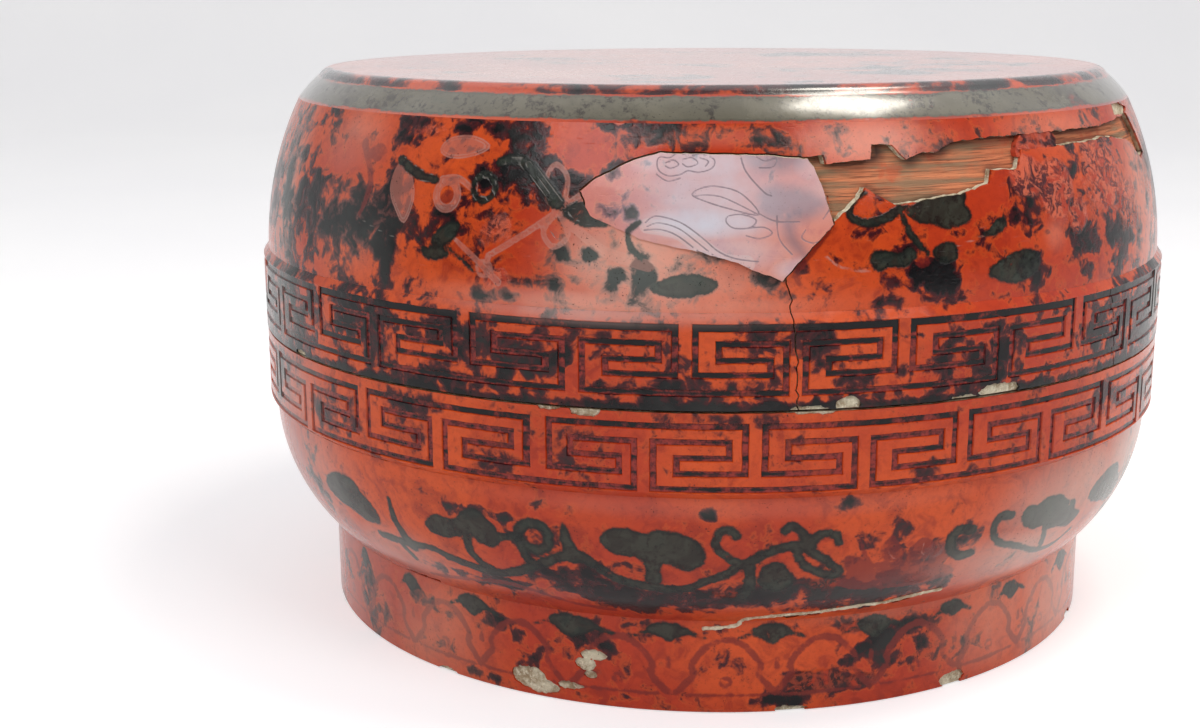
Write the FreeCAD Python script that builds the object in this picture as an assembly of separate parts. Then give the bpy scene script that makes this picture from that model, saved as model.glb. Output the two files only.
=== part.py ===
import FreeCAD, Part
import math
import os

# Round lacquered wooden box with a lift-off lid.
# A core of stacked wooden hoops and edge-joined boards carries a ground coat and a lacquer coat.
# Millimetres, +Z up, origin at the centre of the underside, front towards -Y.

# Outside of the finished box, from the floor up
foot_radius = 139.0
foot_height = 30.0
bowl_flare = 19.6
bowl_rise = 45.0
bowl_bulge = 5.2
base_bevel_run = 2.2
base_bevel_rise = 2.0
base_band_width = 24.0
lid_overhang = 0.2
lid_band_width = 25.5
lid_bevel_run = 1.8
lid_bevel_rise = 2.5
wall_lean = 12.9
wall_rise = 51.0
wall_bulge = 3.0
slope_run = 7.3
slope_rise = 7.6
slope_bulge = 0.35
edge_run = 3.4
edge_rise = 2.4
edge_bulge = 0.5

# Heights and radii that follow from these
bowl_top_radius = foot_radius + bowl_flare
bowl_top_height = foot_height + bowl_rise
band_radius = bowl_top_radius + base_bevel_run
base_band_low = bowl_top_height + base_bevel_rise
seam_height = base_band_low + base_band_width
lid_band_radius = band_radius + lid_overhang
lid_band_top = seam_height + lid_band_width
wall_low_radius = lid_band_radius - lid_bevel_run
wall_low_height = lid_band_top + lid_bevel_rise
wall_top_radius = wall_low_radius - wall_lean
wall_top_height = wall_low_height + wall_rise
slope_top_radius = wall_top_radius - slope_run
slope_top_height = wall_top_height + slope_rise
top_edge_radius = slope_top_radius - edge_run
total_height = slope_top_height + edge_rise

# Coats
lacquer_thickness = 0.7
ground_thickness = 1.5
lining_thickness = 0.8
coat_thickness = lacquer_thickness + ground_thickness
seam_setback = 0.4
foot_setback = 0.3
crack_gap = 0.4

# Core
wall_thickness = 8.0
foot_thickness = 8.0
rim_thickness = 8.6
board_thickness = 10.0
bowl_joint_shares = (0.36, 0.69)
wall_joint_shares = (0.31, 0.67)
floor_rabbet_wall = 3.8
floor_radius = foot_radius - coat_thickness - floor_rabbet_wall
lip_thickness = 5.0
lip_rise = 12.0
lip_chamfer = 1.0
lip_clearance = 0.4
lip_radius = band_radius - coat_thickness - rim_thickness
board_rabbet_wall = 5.6
top_board_radius = top_edge_radius - board_rabbet_wall
ledge_width = 6.0
cove_bulge = 3.6

# Boards, as shares of the disc's diameter from front to back
top_board_shares = [0.0, 0.31, 0.66, 1.0]
floor_board_shares = [0.0, 0.36, 0.70, 1.0]

# Place where the coat is broken off the lid's wall. Its rise is counted from the wall's foot,
# and its middle lies this far along the wall, to the right of the front.
break_width = 148.4
break_height = 23.3
break_rise = 24.0
break_left = -73.2
break_along = 100.0
break_outline_shares = [
    (0.00, 0.77), (0.03, 0.79), (0.03, 0.69), (0.11, 0.73), (0.12, 0.90), (0.16, 0.89),
    (0.18, 0.70), (0.21, 0.79), (0.25, 0.79), (0.28, 0.89), (0.35, 0.92), (0.54, 0.93),
    (0.75, 0.93), (0.87, 0.98), (0.94, 1.00), (0.97, 0.74), (1.00, 0.44), (0.96, 0.38),
    (0.89, 0.66), (0.77, 0.77), (0.62, 0.75), (0.45, 0.74), (0.43, 0.51), (0.36, 0.54),
    (0.35, 0.37), (0.28, 0.27), (0.22, 0.25), (0.14, 0.18), (0.09, 0.39), (0.06, 0.20),
    (0.02, 0.00), (0.02, 0.32), (0.00, 0.45),
]

# Plate of coat that has cracked free beside the break
plate_width = 71.4
plate_height = 35.3
plate_rise = 8.4
plate_left = -35.0
plate_along = -11.1
plate_outline_shares = [
    (0.32, 1.00), (0.54, 0.99), (0.76, 0.98), (0.89, 0.95), (0.92, 0.88), (0.97, 0.65),
    (1.00, 0.44), (0.88, 0.18), (0.80, 0.00), (0.63, 0.16), (0.48, 0.24), (0.25, 0.33),
    (0.05, 0.50), (0.00, 0.69), (0.07, 0.80), (0.21, 0.94),
]

# Crack down through the coat of the lid's band, this far along the wall to the right of the front.
# A second crack runs from the plate's lowest point to the rim.
band_crack_along = 133.4

overrun = 20.0


def point(radius, height):
    return FreeCAD.Vector(radius, 0, height)


def line(start, end):
    return Part.LineSegment(point(*start), point(*end)).toShape()


def curve(start, middle, end):
    return Part.Arc(point(*start), point(*middle), point(*end)).toShape()


def turned(edges):
    """Solid of revolution about Z of the face inside these edges."""
    face = Part.Face(Part.Wire(Part.sortEdges(edges)[0]))
    return face.revolve(FreeCAD.Vector(0, 0, 0), FreeCAD.Vector(0, 0, 1), 360)


def turned_polygon(corners):
    pairs = zip(corners, corners[1:] + corners[:1])
    return turned([line(start, end) for start, end in pairs])


def arc_circle(start, end, bulge):
    """Centre and radius of the arc that stands out by bulge from its chord, away from the axis."""
    chord = math.dist(start, end)
    radius = chord * chord / (8 * bulge) + bulge / 2
    along = ((end[0] - start[0]) / chord, (end[1] - start[1]) / chord)
    outward = (along[1], -along[0])
    inset = radius - bulge
    centre_radius = (start[0] + end[0]) / 2 - outward[0] * inset
    centre_height = (start[1] + end[1]) / 2 - outward[1] * inset
    return centre_radius, centre_height, radius


def joint_heights(low, rise, shares):
    return [low + rise * share for share in shares]


bowl_circle = arc_circle((foot_radius, foot_height), (bowl_top_radius, bowl_top_height), bowl_bulge)
wall_circle = arc_circle((wall_low_radius, wall_low_height), (wall_top_radius, wall_top_height), wall_bulge)
bowl_joint_low, bowl_joint_high = joint_heights(foot_height, bowl_rise, bowl_joint_shares)
wall_joint, shoulder_low = joint_heights(wall_low_height, wall_rise, wall_joint_shares)


def arc_point(circle, height, depth):
    """Point at this height on the arc's surface, depth below it."""
    centre_radius, centre_height, radius = circle
    rise = height - centre_height
    return centre_radius + math.sqrt((radius - depth) ** 2 - rise ** 2), height


def arc_edge(circle, low, high, depth):
    start = arc_point(circle, low, depth)
    middle = arc_point(circle, (low + high) / 2, depth)
    end = arc_point(circle, high, depth)
    return curve(start, middle, end)


def arc_hoop(circle, low, high, outer_depth, inner_depth):
    """Hoop whose outside and inside both follow the arc."""
    return turned([
        arc_edge(circle, low, high, outer_depth),
        line(arc_point(circle, high, outer_depth), arc_point(circle, high, inner_depth)),
        arc_edge(circle, low, high, inner_depth),
        line(arc_point(circle, low, inner_depth), arc_point(circle, low, outer_depth)),
    ])


def ring(outer_radius, inner_radius, low, high):
    return turned_polygon([
        (inner_radius, low), (outer_radius, low), (outer_radius, high), (inner_radius, high)])


def disc(radius, low, high):
    return turned_polygon([(0, low), (radius, low), (radius, high), (0, high)])


def slope_points(depth):
    """Foot and top of the sloping shoulder and the rim of the flat top, depth below the surface."""
    run = wall_top_radius - slope_top_radius
    rise = slope_top_height - wall_top_height
    length = math.hypot(run, rise)
    foot = (wall_top_radius - depth * length / rise, wall_top_height)
    crest = (slope_top_radius - depth * rise / length, slope_top_height - depth * run / length)
    rim = (top_edge_radius, total_height - depth)
    return foot, crest, rim


def bulged(start, end, bulge):
    """Slightly rounded edge from start to end, standing out by bulge from the chord."""
    chord = math.dist(start, end)
    middle_radius = (start[0] + end[0]) / 2 + bulge * (end[1] - start[1]) / chord
    middle_height = (start[1] + end[1]) / 2 + bulge * (start[0] - end[0]) / chord
    return curve(start, (middle_radius, middle_height), end)


def band_layer(radius, tip, low, high, outer_depth, inner_depth):
    """Layer over a raised band. Its bevel runs on to the tips, which lie on the wall beside it."""
    outer_tip, inner_tip = tip
    return turned_polygon([
        (radius - inner_depth, low),
        (radius - outer_depth, low),
        (radius - outer_depth, high),
        outer_tip,
        inner_tip,
        (radius - inner_depth, high),
    ])


def top_layer(outer_depth, inner_depth):
    """Layer over the slope and the flat top."""
    outer_foot, outer_crest, outer_rim = slope_points(outer_depth)
    inner_foot, inner_crest, inner_rim = slope_points(inner_depth)
    return turned([
        line(inner_foot, outer_foot),
        bulged(outer_foot, outer_crest, slope_bulge),
        bulged(outer_crest, outer_rim, edge_bulge),
        line(outer_rim, (0, outer_rim[1])),
        line((0, outer_rim[1]), (0, inner_rim[1])),
        line((0, inner_rim[1]), inner_rim),
        bulged(inner_crest, inner_rim, edge_bulge),
        bulged(inner_foot, inner_crest, slope_bulge),
    ])


def wall_layer(outer_depth, inner_depth):
    return arc_hoop(wall_circle, wall_low_height, wall_top_height, outer_depth, inner_depth)


def lid_band_layer(outer_depth, inner_depth):
    tips = (
        arc_point(wall_circle, wall_low_height, outer_depth),
        arc_point(wall_circle, wall_low_height, inner_depth),
    )
    low = seam_height + seam_setback
    return band_layer(lid_band_radius, tips, low, lid_band_top, outer_depth, inner_depth)


def bowl_layer(outer_depth, inner_depth):
    return arc_hoop(bowl_circle, foot_height, bowl_top_height, outer_depth, inner_depth)


def base_band_layer(outer_depth, inner_depth):
    tips = (
        arc_point(bowl_circle, bowl_top_height, outer_depth),
        arc_point(bowl_circle, bowl_top_height, inner_depth),
    )
    high = seam_height - seam_setback
    return band_layer(band_radius, tips, high, base_band_low, outer_depth, inner_depth)


def foot_layer(outer_depth, inner_depth):
    return ring(foot_radius - outer_depth, foot_radius - inner_depth, foot_setback, foot_height)


def wall_angle(along):
    """Angle to the right of the front, in degrees, of a place this far along the wall."""
    return math.degrees(along / wall_low_radius)


def outline_prism(shares, width, height, left, rise, along, shrink):
    """Prism that stands in the wall this far along it, with the outline drawn in these shares."""
    low = wall_low_height + rise
    middle_across = left + width / 2
    middle_up = low + height / 2
    keep_across = 1 - 2 * shrink / width
    keep_up = 1 - 2 * shrink / height
    corners = []
    for across_share, up_share in shares:
        across = middle_across + (left + across_share * width - middle_across) * keep_across
        up = middle_up + (low + up_share * height - middle_up) * keep_up
        corners.append(FreeCAD.Vector(across, 0, up))
    wire = Part.makePolygon(corners + corners[:1])
    prism = Part.Face(wire).extrude(FreeCAD.Vector(0, -(lid_band_radius + overrun), 0))
    prism.rotate(FreeCAD.Vector(0, 0, 0), FreeCAD.Vector(0, 0, 1), wall_angle(along))
    return prism


def break_prism():
    return outline_prism(
        break_outline_shares, break_width, break_height, break_left, break_rise, break_along, 0)


def plate_prism(shrink):
    return outline_prism(
        plate_outline_shares, plate_width, plate_height, plate_left, plate_rise, plate_along, shrink)


def crack_slit(angle, high):
    """Thin upright slit through the coat, from below the rim to this height."""
    slit = Part.makeBox(crack_gap, lid_band_radius + overrun, high - seam_height + overrun)
    slit.translate(FreeCAD.Vector(-crack_gap / 2, -(lid_band_radius + overrun), seam_height - overrun))
    slit.rotate(FreeCAD.Vector(0, 0, 0), FreeCAD.Vector(0, 0, 1), angle)
    return slit


def broken(coat):
    """The coat without the break, the loose plate and the cracks."""
    tip_share = min(plate_outline_shares, key=lambda corner: corner[1])[0]
    tip_across = plate_left + tip_share * plate_width
    tip_angle = wall_angle(plate_along) + math.degrees(math.asin(tip_across / wall_low_radius))
    tip_crack = crack_slit(tip_angle, wall_low_height + plate_rise + crack_gap)
    band_crack = crack_slit(wall_angle(band_crack_along), lid_band_top)
    return largest(coat.cut([break_prism(), plate_prism(0), tip_crack, band_crack]))


def largest(shape):
    return max(shape.Solids, key=lambda solid: solid.Volume)


def boards(radius, low, high, shares):
    """Round disc sawn into edge-joined boards, from front to back."""
    whole = disc(radius, low, high)
    made = []
    for front_share, back_share in zip(shares, shares[1:]):
        front = (2 * front_share - 1) * radius
        back = (2 * back_share - 1) * radius
        slab = Part.makeBox(2 * radius + 2 * overrun, back - front, high - low + 2 * overrun)
        slab.translate(FreeCAD.Vector(-radius - overrun, front, low - overrun))
        made.append(whole.common(slab).Solids[0])
    return made


def shoulder_hoop():
    """Top hoop of the lid: turned outside, rabbeted for the boards, coved inside."""
    board_low = total_height - coat_thickness - board_thickness
    slope_foot, slope_crest, slope_rim = slope_points(coat_thickness)
    ledge_radius = top_board_radius - ledge_width
    wall_inner = arc_point(wall_circle, shoulder_low, coat_thickness + wall_thickness)
    wall_outer = arc_point(wall_circle, shoulder_low, coat_thickness)
    wall_crest = arc_point(wall_circle, wall_top_height, coat_thickness)
    return turned([
        line(wall_inner, wall_outer),
        arc_edge(wall_circle, shoulder_low, wall_top_height, coat_thickness),
        line(wall_crest, slope_foot),
        bulged(slope_foot, slope_crest, slope_bulge),
        bulged(slope_crest, slope_rim, edge_bulge),
        line(slope_rim, (top_board_radius, slope_rim[1])),
        line((top_board_radius, slope_rim[1]), (top_board_radius, board_low)),
        line((top_board_radius, board_low), (ledge_radius, board_low)),
        bulged(wall_inner, (ledge_radius, board_low), cove_bulge),
    ])


def lid_wall_hoop(low, high):
    return arc_hoop(wall_circle, low, high, coat_thickness, coat_thickness + wall_thickness)


def lid_band_hoop():
    """Rim hoop of the lid, with the band's bevel at its top."""
    inner_radius = lip_radius + lip_clearance
    outer_radius = lid_band_radius - coat_thickness
    return turned_polygon([
        (inner_radius, seam_height),
        (outer_radius, seam_height),
        (outer_radius, lid_band_top),
        arc_point(wall_circle, wall_low_height, coat_thickness),
        (inner_radius, wall_low_height),
    ])


def lid_lining():
    """Dark lacquer on the inside of the wall hoops, the cove and the top boards."""
    board_low = total_height - coat_thickness - board_thickness
    ledge_radius = top_board_radius - ledge_width
    outer_depth = coat_thickness + wall_thickness
    inner_depth = outer_depth + lining_thickness
    wall_inner = arc_point(wall_circle, shoulder_low, outer_depth)
    skin_inner = arc_point(wall_circle, shoulder_low, inner_depth)
    wall_foot_outer = arc_point(wall_circle, wall_low_height, outer_depth)
    wall_foot_inner = arc_point(wall_circle, wall_low_height, inner_depth)
    skin_ledge = (ledge_radius - lining_thickness, board_low - lining_thickness)
    return turned([
        arc_edge(wall_circle, wall_low_height, shoulder_low, outer_depth),
        bulged(wall_inner, (ledge_radius, board_low), cove_bulge),
        line((ledge_radius, board_low), (0, board_low)),
        line((0, board_low), (0, board_low - lining_thickness)),
        line((0, board_low - lining_thickness), skin_ledge),
        bulged(skin_inner, skin_ledge, cove_bulge),
        arc_edge(wall_circle, wall_low_height, shoulder_low, inner_depth),
        line(wall_foot_inner, wall_foot_outer),
    ])


def bowl_hoop_lower():
    """Lowest bowl hoop, rabbeted for the floor boards."""
    floor_top = foot_height + board_thickness
    outer_depth = coat_thickness
    inner_depth = coat_thickness + wall_thickness
    return turned([
        arc_edge(bowl_circle, foot_height, bowl_joint_low, outer_depth),
        line(
            arc_point(bowl_circle, bowl_joint_low, outer_depth),
            arc_point(bowl_circle, bowl_joint_low, inner_depth)),
        arc_edge(bowl_circle, floor_top, bowl_joint_low, inner_depth),
        line(arc_point(bowl_circle, floor_top, inner_depth), (floor_radius, floor_top)),
        line((floor_radius, floor_top), (floor_radius, foot_height)),
        line((floor_radius, foot_height), arc_point(bowl_circle, foot_height, outer_depth)),
    ])


def bowl_hoop(low, high):
    return arc_hoop(bowl_circle, low, high, coat_thickness, coat_thickness + wall_thickness)


def base_band_hoop():
    """Rim hoop of the base, with the band's bevel at its foot."""
    outer_radius = band_radius - coat_thickness
    return turned_polygon([
        (lip_radius, bowl_top_height),
        arc_point(bowl_circle, bowl_top_height, coat_thickness),
        (outer_radius, base_band_low),
        (outer_radius, seam_height),
        (lip_radius, seam_height),
    ])


def base_lip():
    """Upstanding inner lip that the lid fits over, with a lead-in chamfer."""
    inner_radius = lip_radius - lip_thickness
    lip_top = seam_height + lip_rise
    return turned_polygon([
        (inner_radius, bowl_top_height),
        (lip_radius, bowl_top_height),
        (lip_radius, lip_top - lip_chamfer),
        (lip_radius - lip_chamfer, lip_top),
        (inner_radius + lip_chamfer, lip_top),
        (inner_radius, lip_top - lip_chamfer),
    ])


def foot_ring():
    outer_radius = foot_radius - coat_thickness
    return ring(outer_radius, outer_radius - foot_thickness, 0, foot_height)


def base_lining():
    """Dark lacquer on the floor boards and the inside of the bowl hoops."""
    floor_top = foot_height + board_thickness
    skin_top = floor_top + lining_thickness
    outer_depth = coat_thickness + wall_thickness
    inner_depth = outer_depth + lining_thickness
    return turned([
        line((0, floor_top), arc_point(bowl_circle, floor_top, outer_depth)),
        arc_edge(bowl_circle, floor_top, bowl_top_height, outer_depth),
        line(
            arc_point(bowl_circle, bowl_top_height, outer_depth),
            arc_point(bowl_circle, bowl_top_height, inner_depth)),
        arc_edge(bowl_circle, skin_top, bowl_top_height, inner_depth),
        line(arc_point(bowl_circle, skin_top, inner_depth), (0, skin_top)),
        line((0, skin_top), (0, floor_top)),
    ])


def underside_lacquer():
    """Dark lacquer under the floor boards and on the inside of the foot ring."""
    outer_radius = foot_radius - coat_thickness - foot_thickness
    inner_radius = outer_radius - lining_thickness
    return turned_polygon([
        (inner_radius, foot_setback),
        (outer_radius, foot_setback),
        (outer_radius, foot_height),
        (0, foot_height),
        (0, foot_height - lining_thickness),
        (inner_radius, foot_height - lining_thickness),
    ])


def lid_ground_coat():
    depths = (lacquer_thickness, coat_thickness)
    layers = [lid_band_layer(*depths), wall_layer(*depths), top_layer(*depths)]
    return broken(layers[0].fuse(layers[1:]).removeSplitter())


def base_ground_coat():
    depths = (lacquer_thickness, coat_thickness)
    layers = [foot_layer(*depths), bowl_layer(*depths), base_band_layer(*depths)]
    return layers[0].fuse(layers[1:]).removeSplitter()


def lifted_plate():
    """Whole thickness of the coat inside the plate's cracks."""
    return largest(wall_layer(0, coat_thickness).common(plate_prism(crack_gap)))


def build():
    board_low = total_height - coat_thickness - board_thickness
    top_boards = boards(top_board_radius, board_low, board_low + board_thickness, top_board_shares)
    floor_boards = boards(floor_radius, foot_height, foot_height + board_thickness, floor_board_shares)
    nodes = {
        "foot_ring": foot_ring(),
        "bowl_hoop_lower": bowl_hoop_lower(),
        "bowl_hoop_middle": bowl_hoop(bowl_joint_low, bowl_joint_high),
        "bowl_hoop_upper": bowl_hoop(bowl_joint_high, bowl_top_height),
        "base_band_hoop": base_band_hoop(),
        "base_lip": base_lip(),
        "base_ground_coat": base_ground_coat(),
        "foot_lacquer": foot_layer(0, lacquer_thickness),
        "bowl_lacquer": bowl_layer(0, lacquer_thickness),
        "base_band_lacquer": base_band_layer(0, lacquer_thickness),
        "base_lining": base_lining(),
        "underside_lacquer": underside_lacquer(),
        "lid_band_hoop": lid_band_hoop(),
        "lid_wall_hoop_lower": lid_wall_hoop(wall_low_height, wall_joint),
        "lid_wall_hoop_upper": lid_wall_hoop(wall_joint, shoulder_low),
        "lid_shoulder_hoop": shoulder_hoop(),
        "lid_ground_coat": lid_ground_coat(),
        "lid_top_lacquer": top_layer(0, lacquer_thickness),
        "lid_wall_lacquer": broken(wall_layer(0, lacquer_thickness)),
        "lid_band_lacquer": broken(lid_band_layer(0, lacquer_thickness)),
        "lid_lining": lid_lining(),
        "lid_lifted_plate": lifted_plate(),
    }
    for place, board in zip(("front", "middle", "back"), top_boards):
        nodes["lid_top_board_" + place] = board
    for place, board in zip(("front", "middle", "back"), floor_boards):
        nodes["base_floor_board_" + place] = board
    return nodes


os.makedirs("parts", exist_ok=True)
for name, shape in build().items():
    solid = shape.Solids[0] if len(shape.Solids) == 1 else shape
    solid.exportStep("parts/" + name + ".step")
    print(name, "solids", len(shape.Solids), "valid", shape.isValid(), "volume", round(shape.Volume, 1))
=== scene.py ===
import math

import bpy
import numpy as np
from mathutils import Matrix, Vector, noise


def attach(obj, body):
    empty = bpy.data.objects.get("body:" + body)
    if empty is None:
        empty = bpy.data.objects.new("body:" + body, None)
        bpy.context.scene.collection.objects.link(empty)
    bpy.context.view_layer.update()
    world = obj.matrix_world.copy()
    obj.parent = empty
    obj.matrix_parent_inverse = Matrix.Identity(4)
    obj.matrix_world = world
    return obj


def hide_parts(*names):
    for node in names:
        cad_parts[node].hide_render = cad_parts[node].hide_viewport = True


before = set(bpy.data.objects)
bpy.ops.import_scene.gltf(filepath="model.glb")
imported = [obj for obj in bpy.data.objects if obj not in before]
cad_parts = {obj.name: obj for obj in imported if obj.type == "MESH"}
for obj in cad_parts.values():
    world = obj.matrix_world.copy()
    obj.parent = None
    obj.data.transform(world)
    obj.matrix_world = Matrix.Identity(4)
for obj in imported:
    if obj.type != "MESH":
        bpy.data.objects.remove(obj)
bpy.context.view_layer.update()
mm = 0.001
farAway = 6.0  # a painted distance this large means that nothing is painted there

# view and studio
photoView = {
    "width": 1200, "focal": 1631,  # pixels of the photograph
    "place": (-0.0394, -0.6016, 0.2179),  # metres
    "pitch": 13.12, "roll": -0.29,  # degrees down from level, and about the line of sight
    "sensor": 36.0,  # millimetres
}
bpy.ops.object.select_all(action="DESELECT")
bpy.ops.object.camera_add(location=photoView["place"])
camera = bpy.context.object
tilt = Matrix.Rotation(math.radians(90 - photoView["pitch"]), 4, "X")
roll = Matrix.Rotation(math.radians(photoView["roll"]), 4, "Z")
camera.rotation_euler = (tilt @ roll).to_euler()
camera.data.sensor_width = photoView["sensor"]
camera.data.lens = photoView["sensor"] * photoView["focal"] / photoView["width"]
bpy.context.scene.camera = camera
bpy.context.scene.view_settings.view_transform = "Standard"

studio = {
    "frontLight": 0.19, "backLight": 0.66, "worldSeen": 0.92, "frontGloss": 0.14,
    "lamps": (
        # name, place, aim, size, watts, colour
        ("CeilingLamp", (0.44, -0.13, 1.22), (0.02, -0.05, 0.15), 0.34, 5.0, (1.0, 0.94, 0.83)),
        ("HighLeft", (-0.95, -1.35, 1.45), (0.0, 0.0, 0.10), 0.9, 14.5, (0.98, 0.99, 1.0)),
        ("HighRight", (1.05, -1.25, 1.35), (0.0, 0.0, 0.10), 0.9, 11.5, (1.0, 0.99, 0.97)),
    ),
}
for name, place, aim, size, watts, colour in studio["lamps"]:
    bpy.ops.object.light_add(type="AREA", location=place)
    lamp = bpy.context.object
    lamp.name = name
    lamp.rotation_euler = (Vector(aim) - Vector(place)).to_track_quat("-Z", "Y").to_euler()
    lamp.data.size = size
    lamp.data.energy = watts
    lamp.data.color = colour


# node helpers
def srgb(red, green, blue):
    parts = []
    for value in (red, green, blue):
        share = value / 255
        parts.append(share / 12.92 if share <= 0.04045 else ((share + 0.055) / 1.055) ** 2.4)
    return (*parts, 1.0)


def addNode(tree, kind, **settings):
    made = tree.nodes.new(kind)
    for key, value in settings.items():
        setattr(made, key, value)
    return made


def feed(tree, socket, value):
    if isinstance(value, bpy.types.NodeSocket):
        tree.links.new(value, socket)
    else:
        socket.default_value = value


def sums(tree, operation, first, second=0.0, clamp=False):
    made = addNode(tree, "ShaderNodeMath", operation=operation, use_clamp=clamp)
    feed(tree, made.inputs[0], first)
    feed(tree, made.inputs[1], second)
    return made.outputs[0]


def plus(tree, first, second, clamp=False):
    return sums(tree, "ADD", first, second, clamp)


def minus(tree, first, second):
    return sums(tree, "SUBTRACT", first, second)


def times(tree, first, second, clamp=False):
    return sums(tree, "MULTIPLY", first, second, clamp)


# eases from start to end while the value goes from low to high
def step(tree, value, low, high, start=0.0, end=1.0):
    made = addNode(tree, "ShaderNodeMapRange", interpolation_type="SMOOTHSTEP")
    feed(tree, made.inputs["Value"], value)
    if low > high:
        low, high, start, end = high, low, end, start
    made.inputs["From Min"].default_value = low
    made.inputs["From Max"].default_value = high
    made.inputs["To Min"].default_value = start
    made.inputs["To Max"].default_value = end
    return made.outputs["Result"]


def blend(tree, factor, first, second):
    made = addNode(tree, "ShaderNodeMix", data_type="RGBA")
    feed(tree, made.inputs[0], factor)
    feed(tree, made.inputs[6], first)
    feed(tree, made.inputs[7], second)
    return made.outputs[2]


def cloud(tree, place, scale, detail, rough, twist=0.0):
    made = addNode(tree, "ShaderNodeTexNoise")
    feed(tree, made.inputs["Vector"], place)
    made.inputs["Scale"].default_value = scale
    made.inputs["Detail"].default_value = detail
    made.inputs["Roughness"].default_value = rough
    made.inputs["Distortion"].default_value = twist
    return made.outputs["Fac"]


# a small scale draws a pattern out along that axis
def stretched(tree, place, scale, turn=(0.0, 0.0, 0.0)):
    made = addNode(tree, "ShaderNodeMapping")
    feed(tree, made.inputs["Vector"], place)
    made.inputs["Scale"].default_value = scale
    made.inputs["Rotation"].default_value = turn
    return made.outputs["Vector"]


def layer(tree, name):  # what paint() has stored on the points of a piece
    return addNode(tree, "ShaderNodeAttribute", attribute_name=name).outputs["Fac"]


def bumped(tree, shader, height, strength, distance, before=None):
    made = addNode(tree, "ShaderNodeBump")
    made.inputs["Strength"].default_value = strength
    made.inputs["Distance"].default_value = distance
    feed(tree, made.inputs["Height"], height)
    if before is not None:
        tree.links.new(before, made.inputs["Normal"])
    tree.links.new(made.outputs["Normal"], shader.inputs["Normal"])
    return made.outputs["Normal"]


def newMaterial(name):
    material = bpy.data.materials.new(name)
    material.use_nodes = True
    tree = material.node_tree
    shader = tree.nodes["Principled BSDF"]
    place = addNode(tree, "ShaderNodeTexCoord").outputs["Object"]
    return material, tree, shader, place


# finishes
lacquerGrain = {
    "closeBlots": 2.7, "islands": 1.9,  # times as fine as the blots
    "fine": 430, "dust": 1500, "wear": 85, "moss": 38, "wrinkle": 210, "bloom": 26, "wave": 34,
    "scratch": 120, "waveDepth": 0.0012, "reliefDepth": 0.00016,  # metres
}


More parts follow.
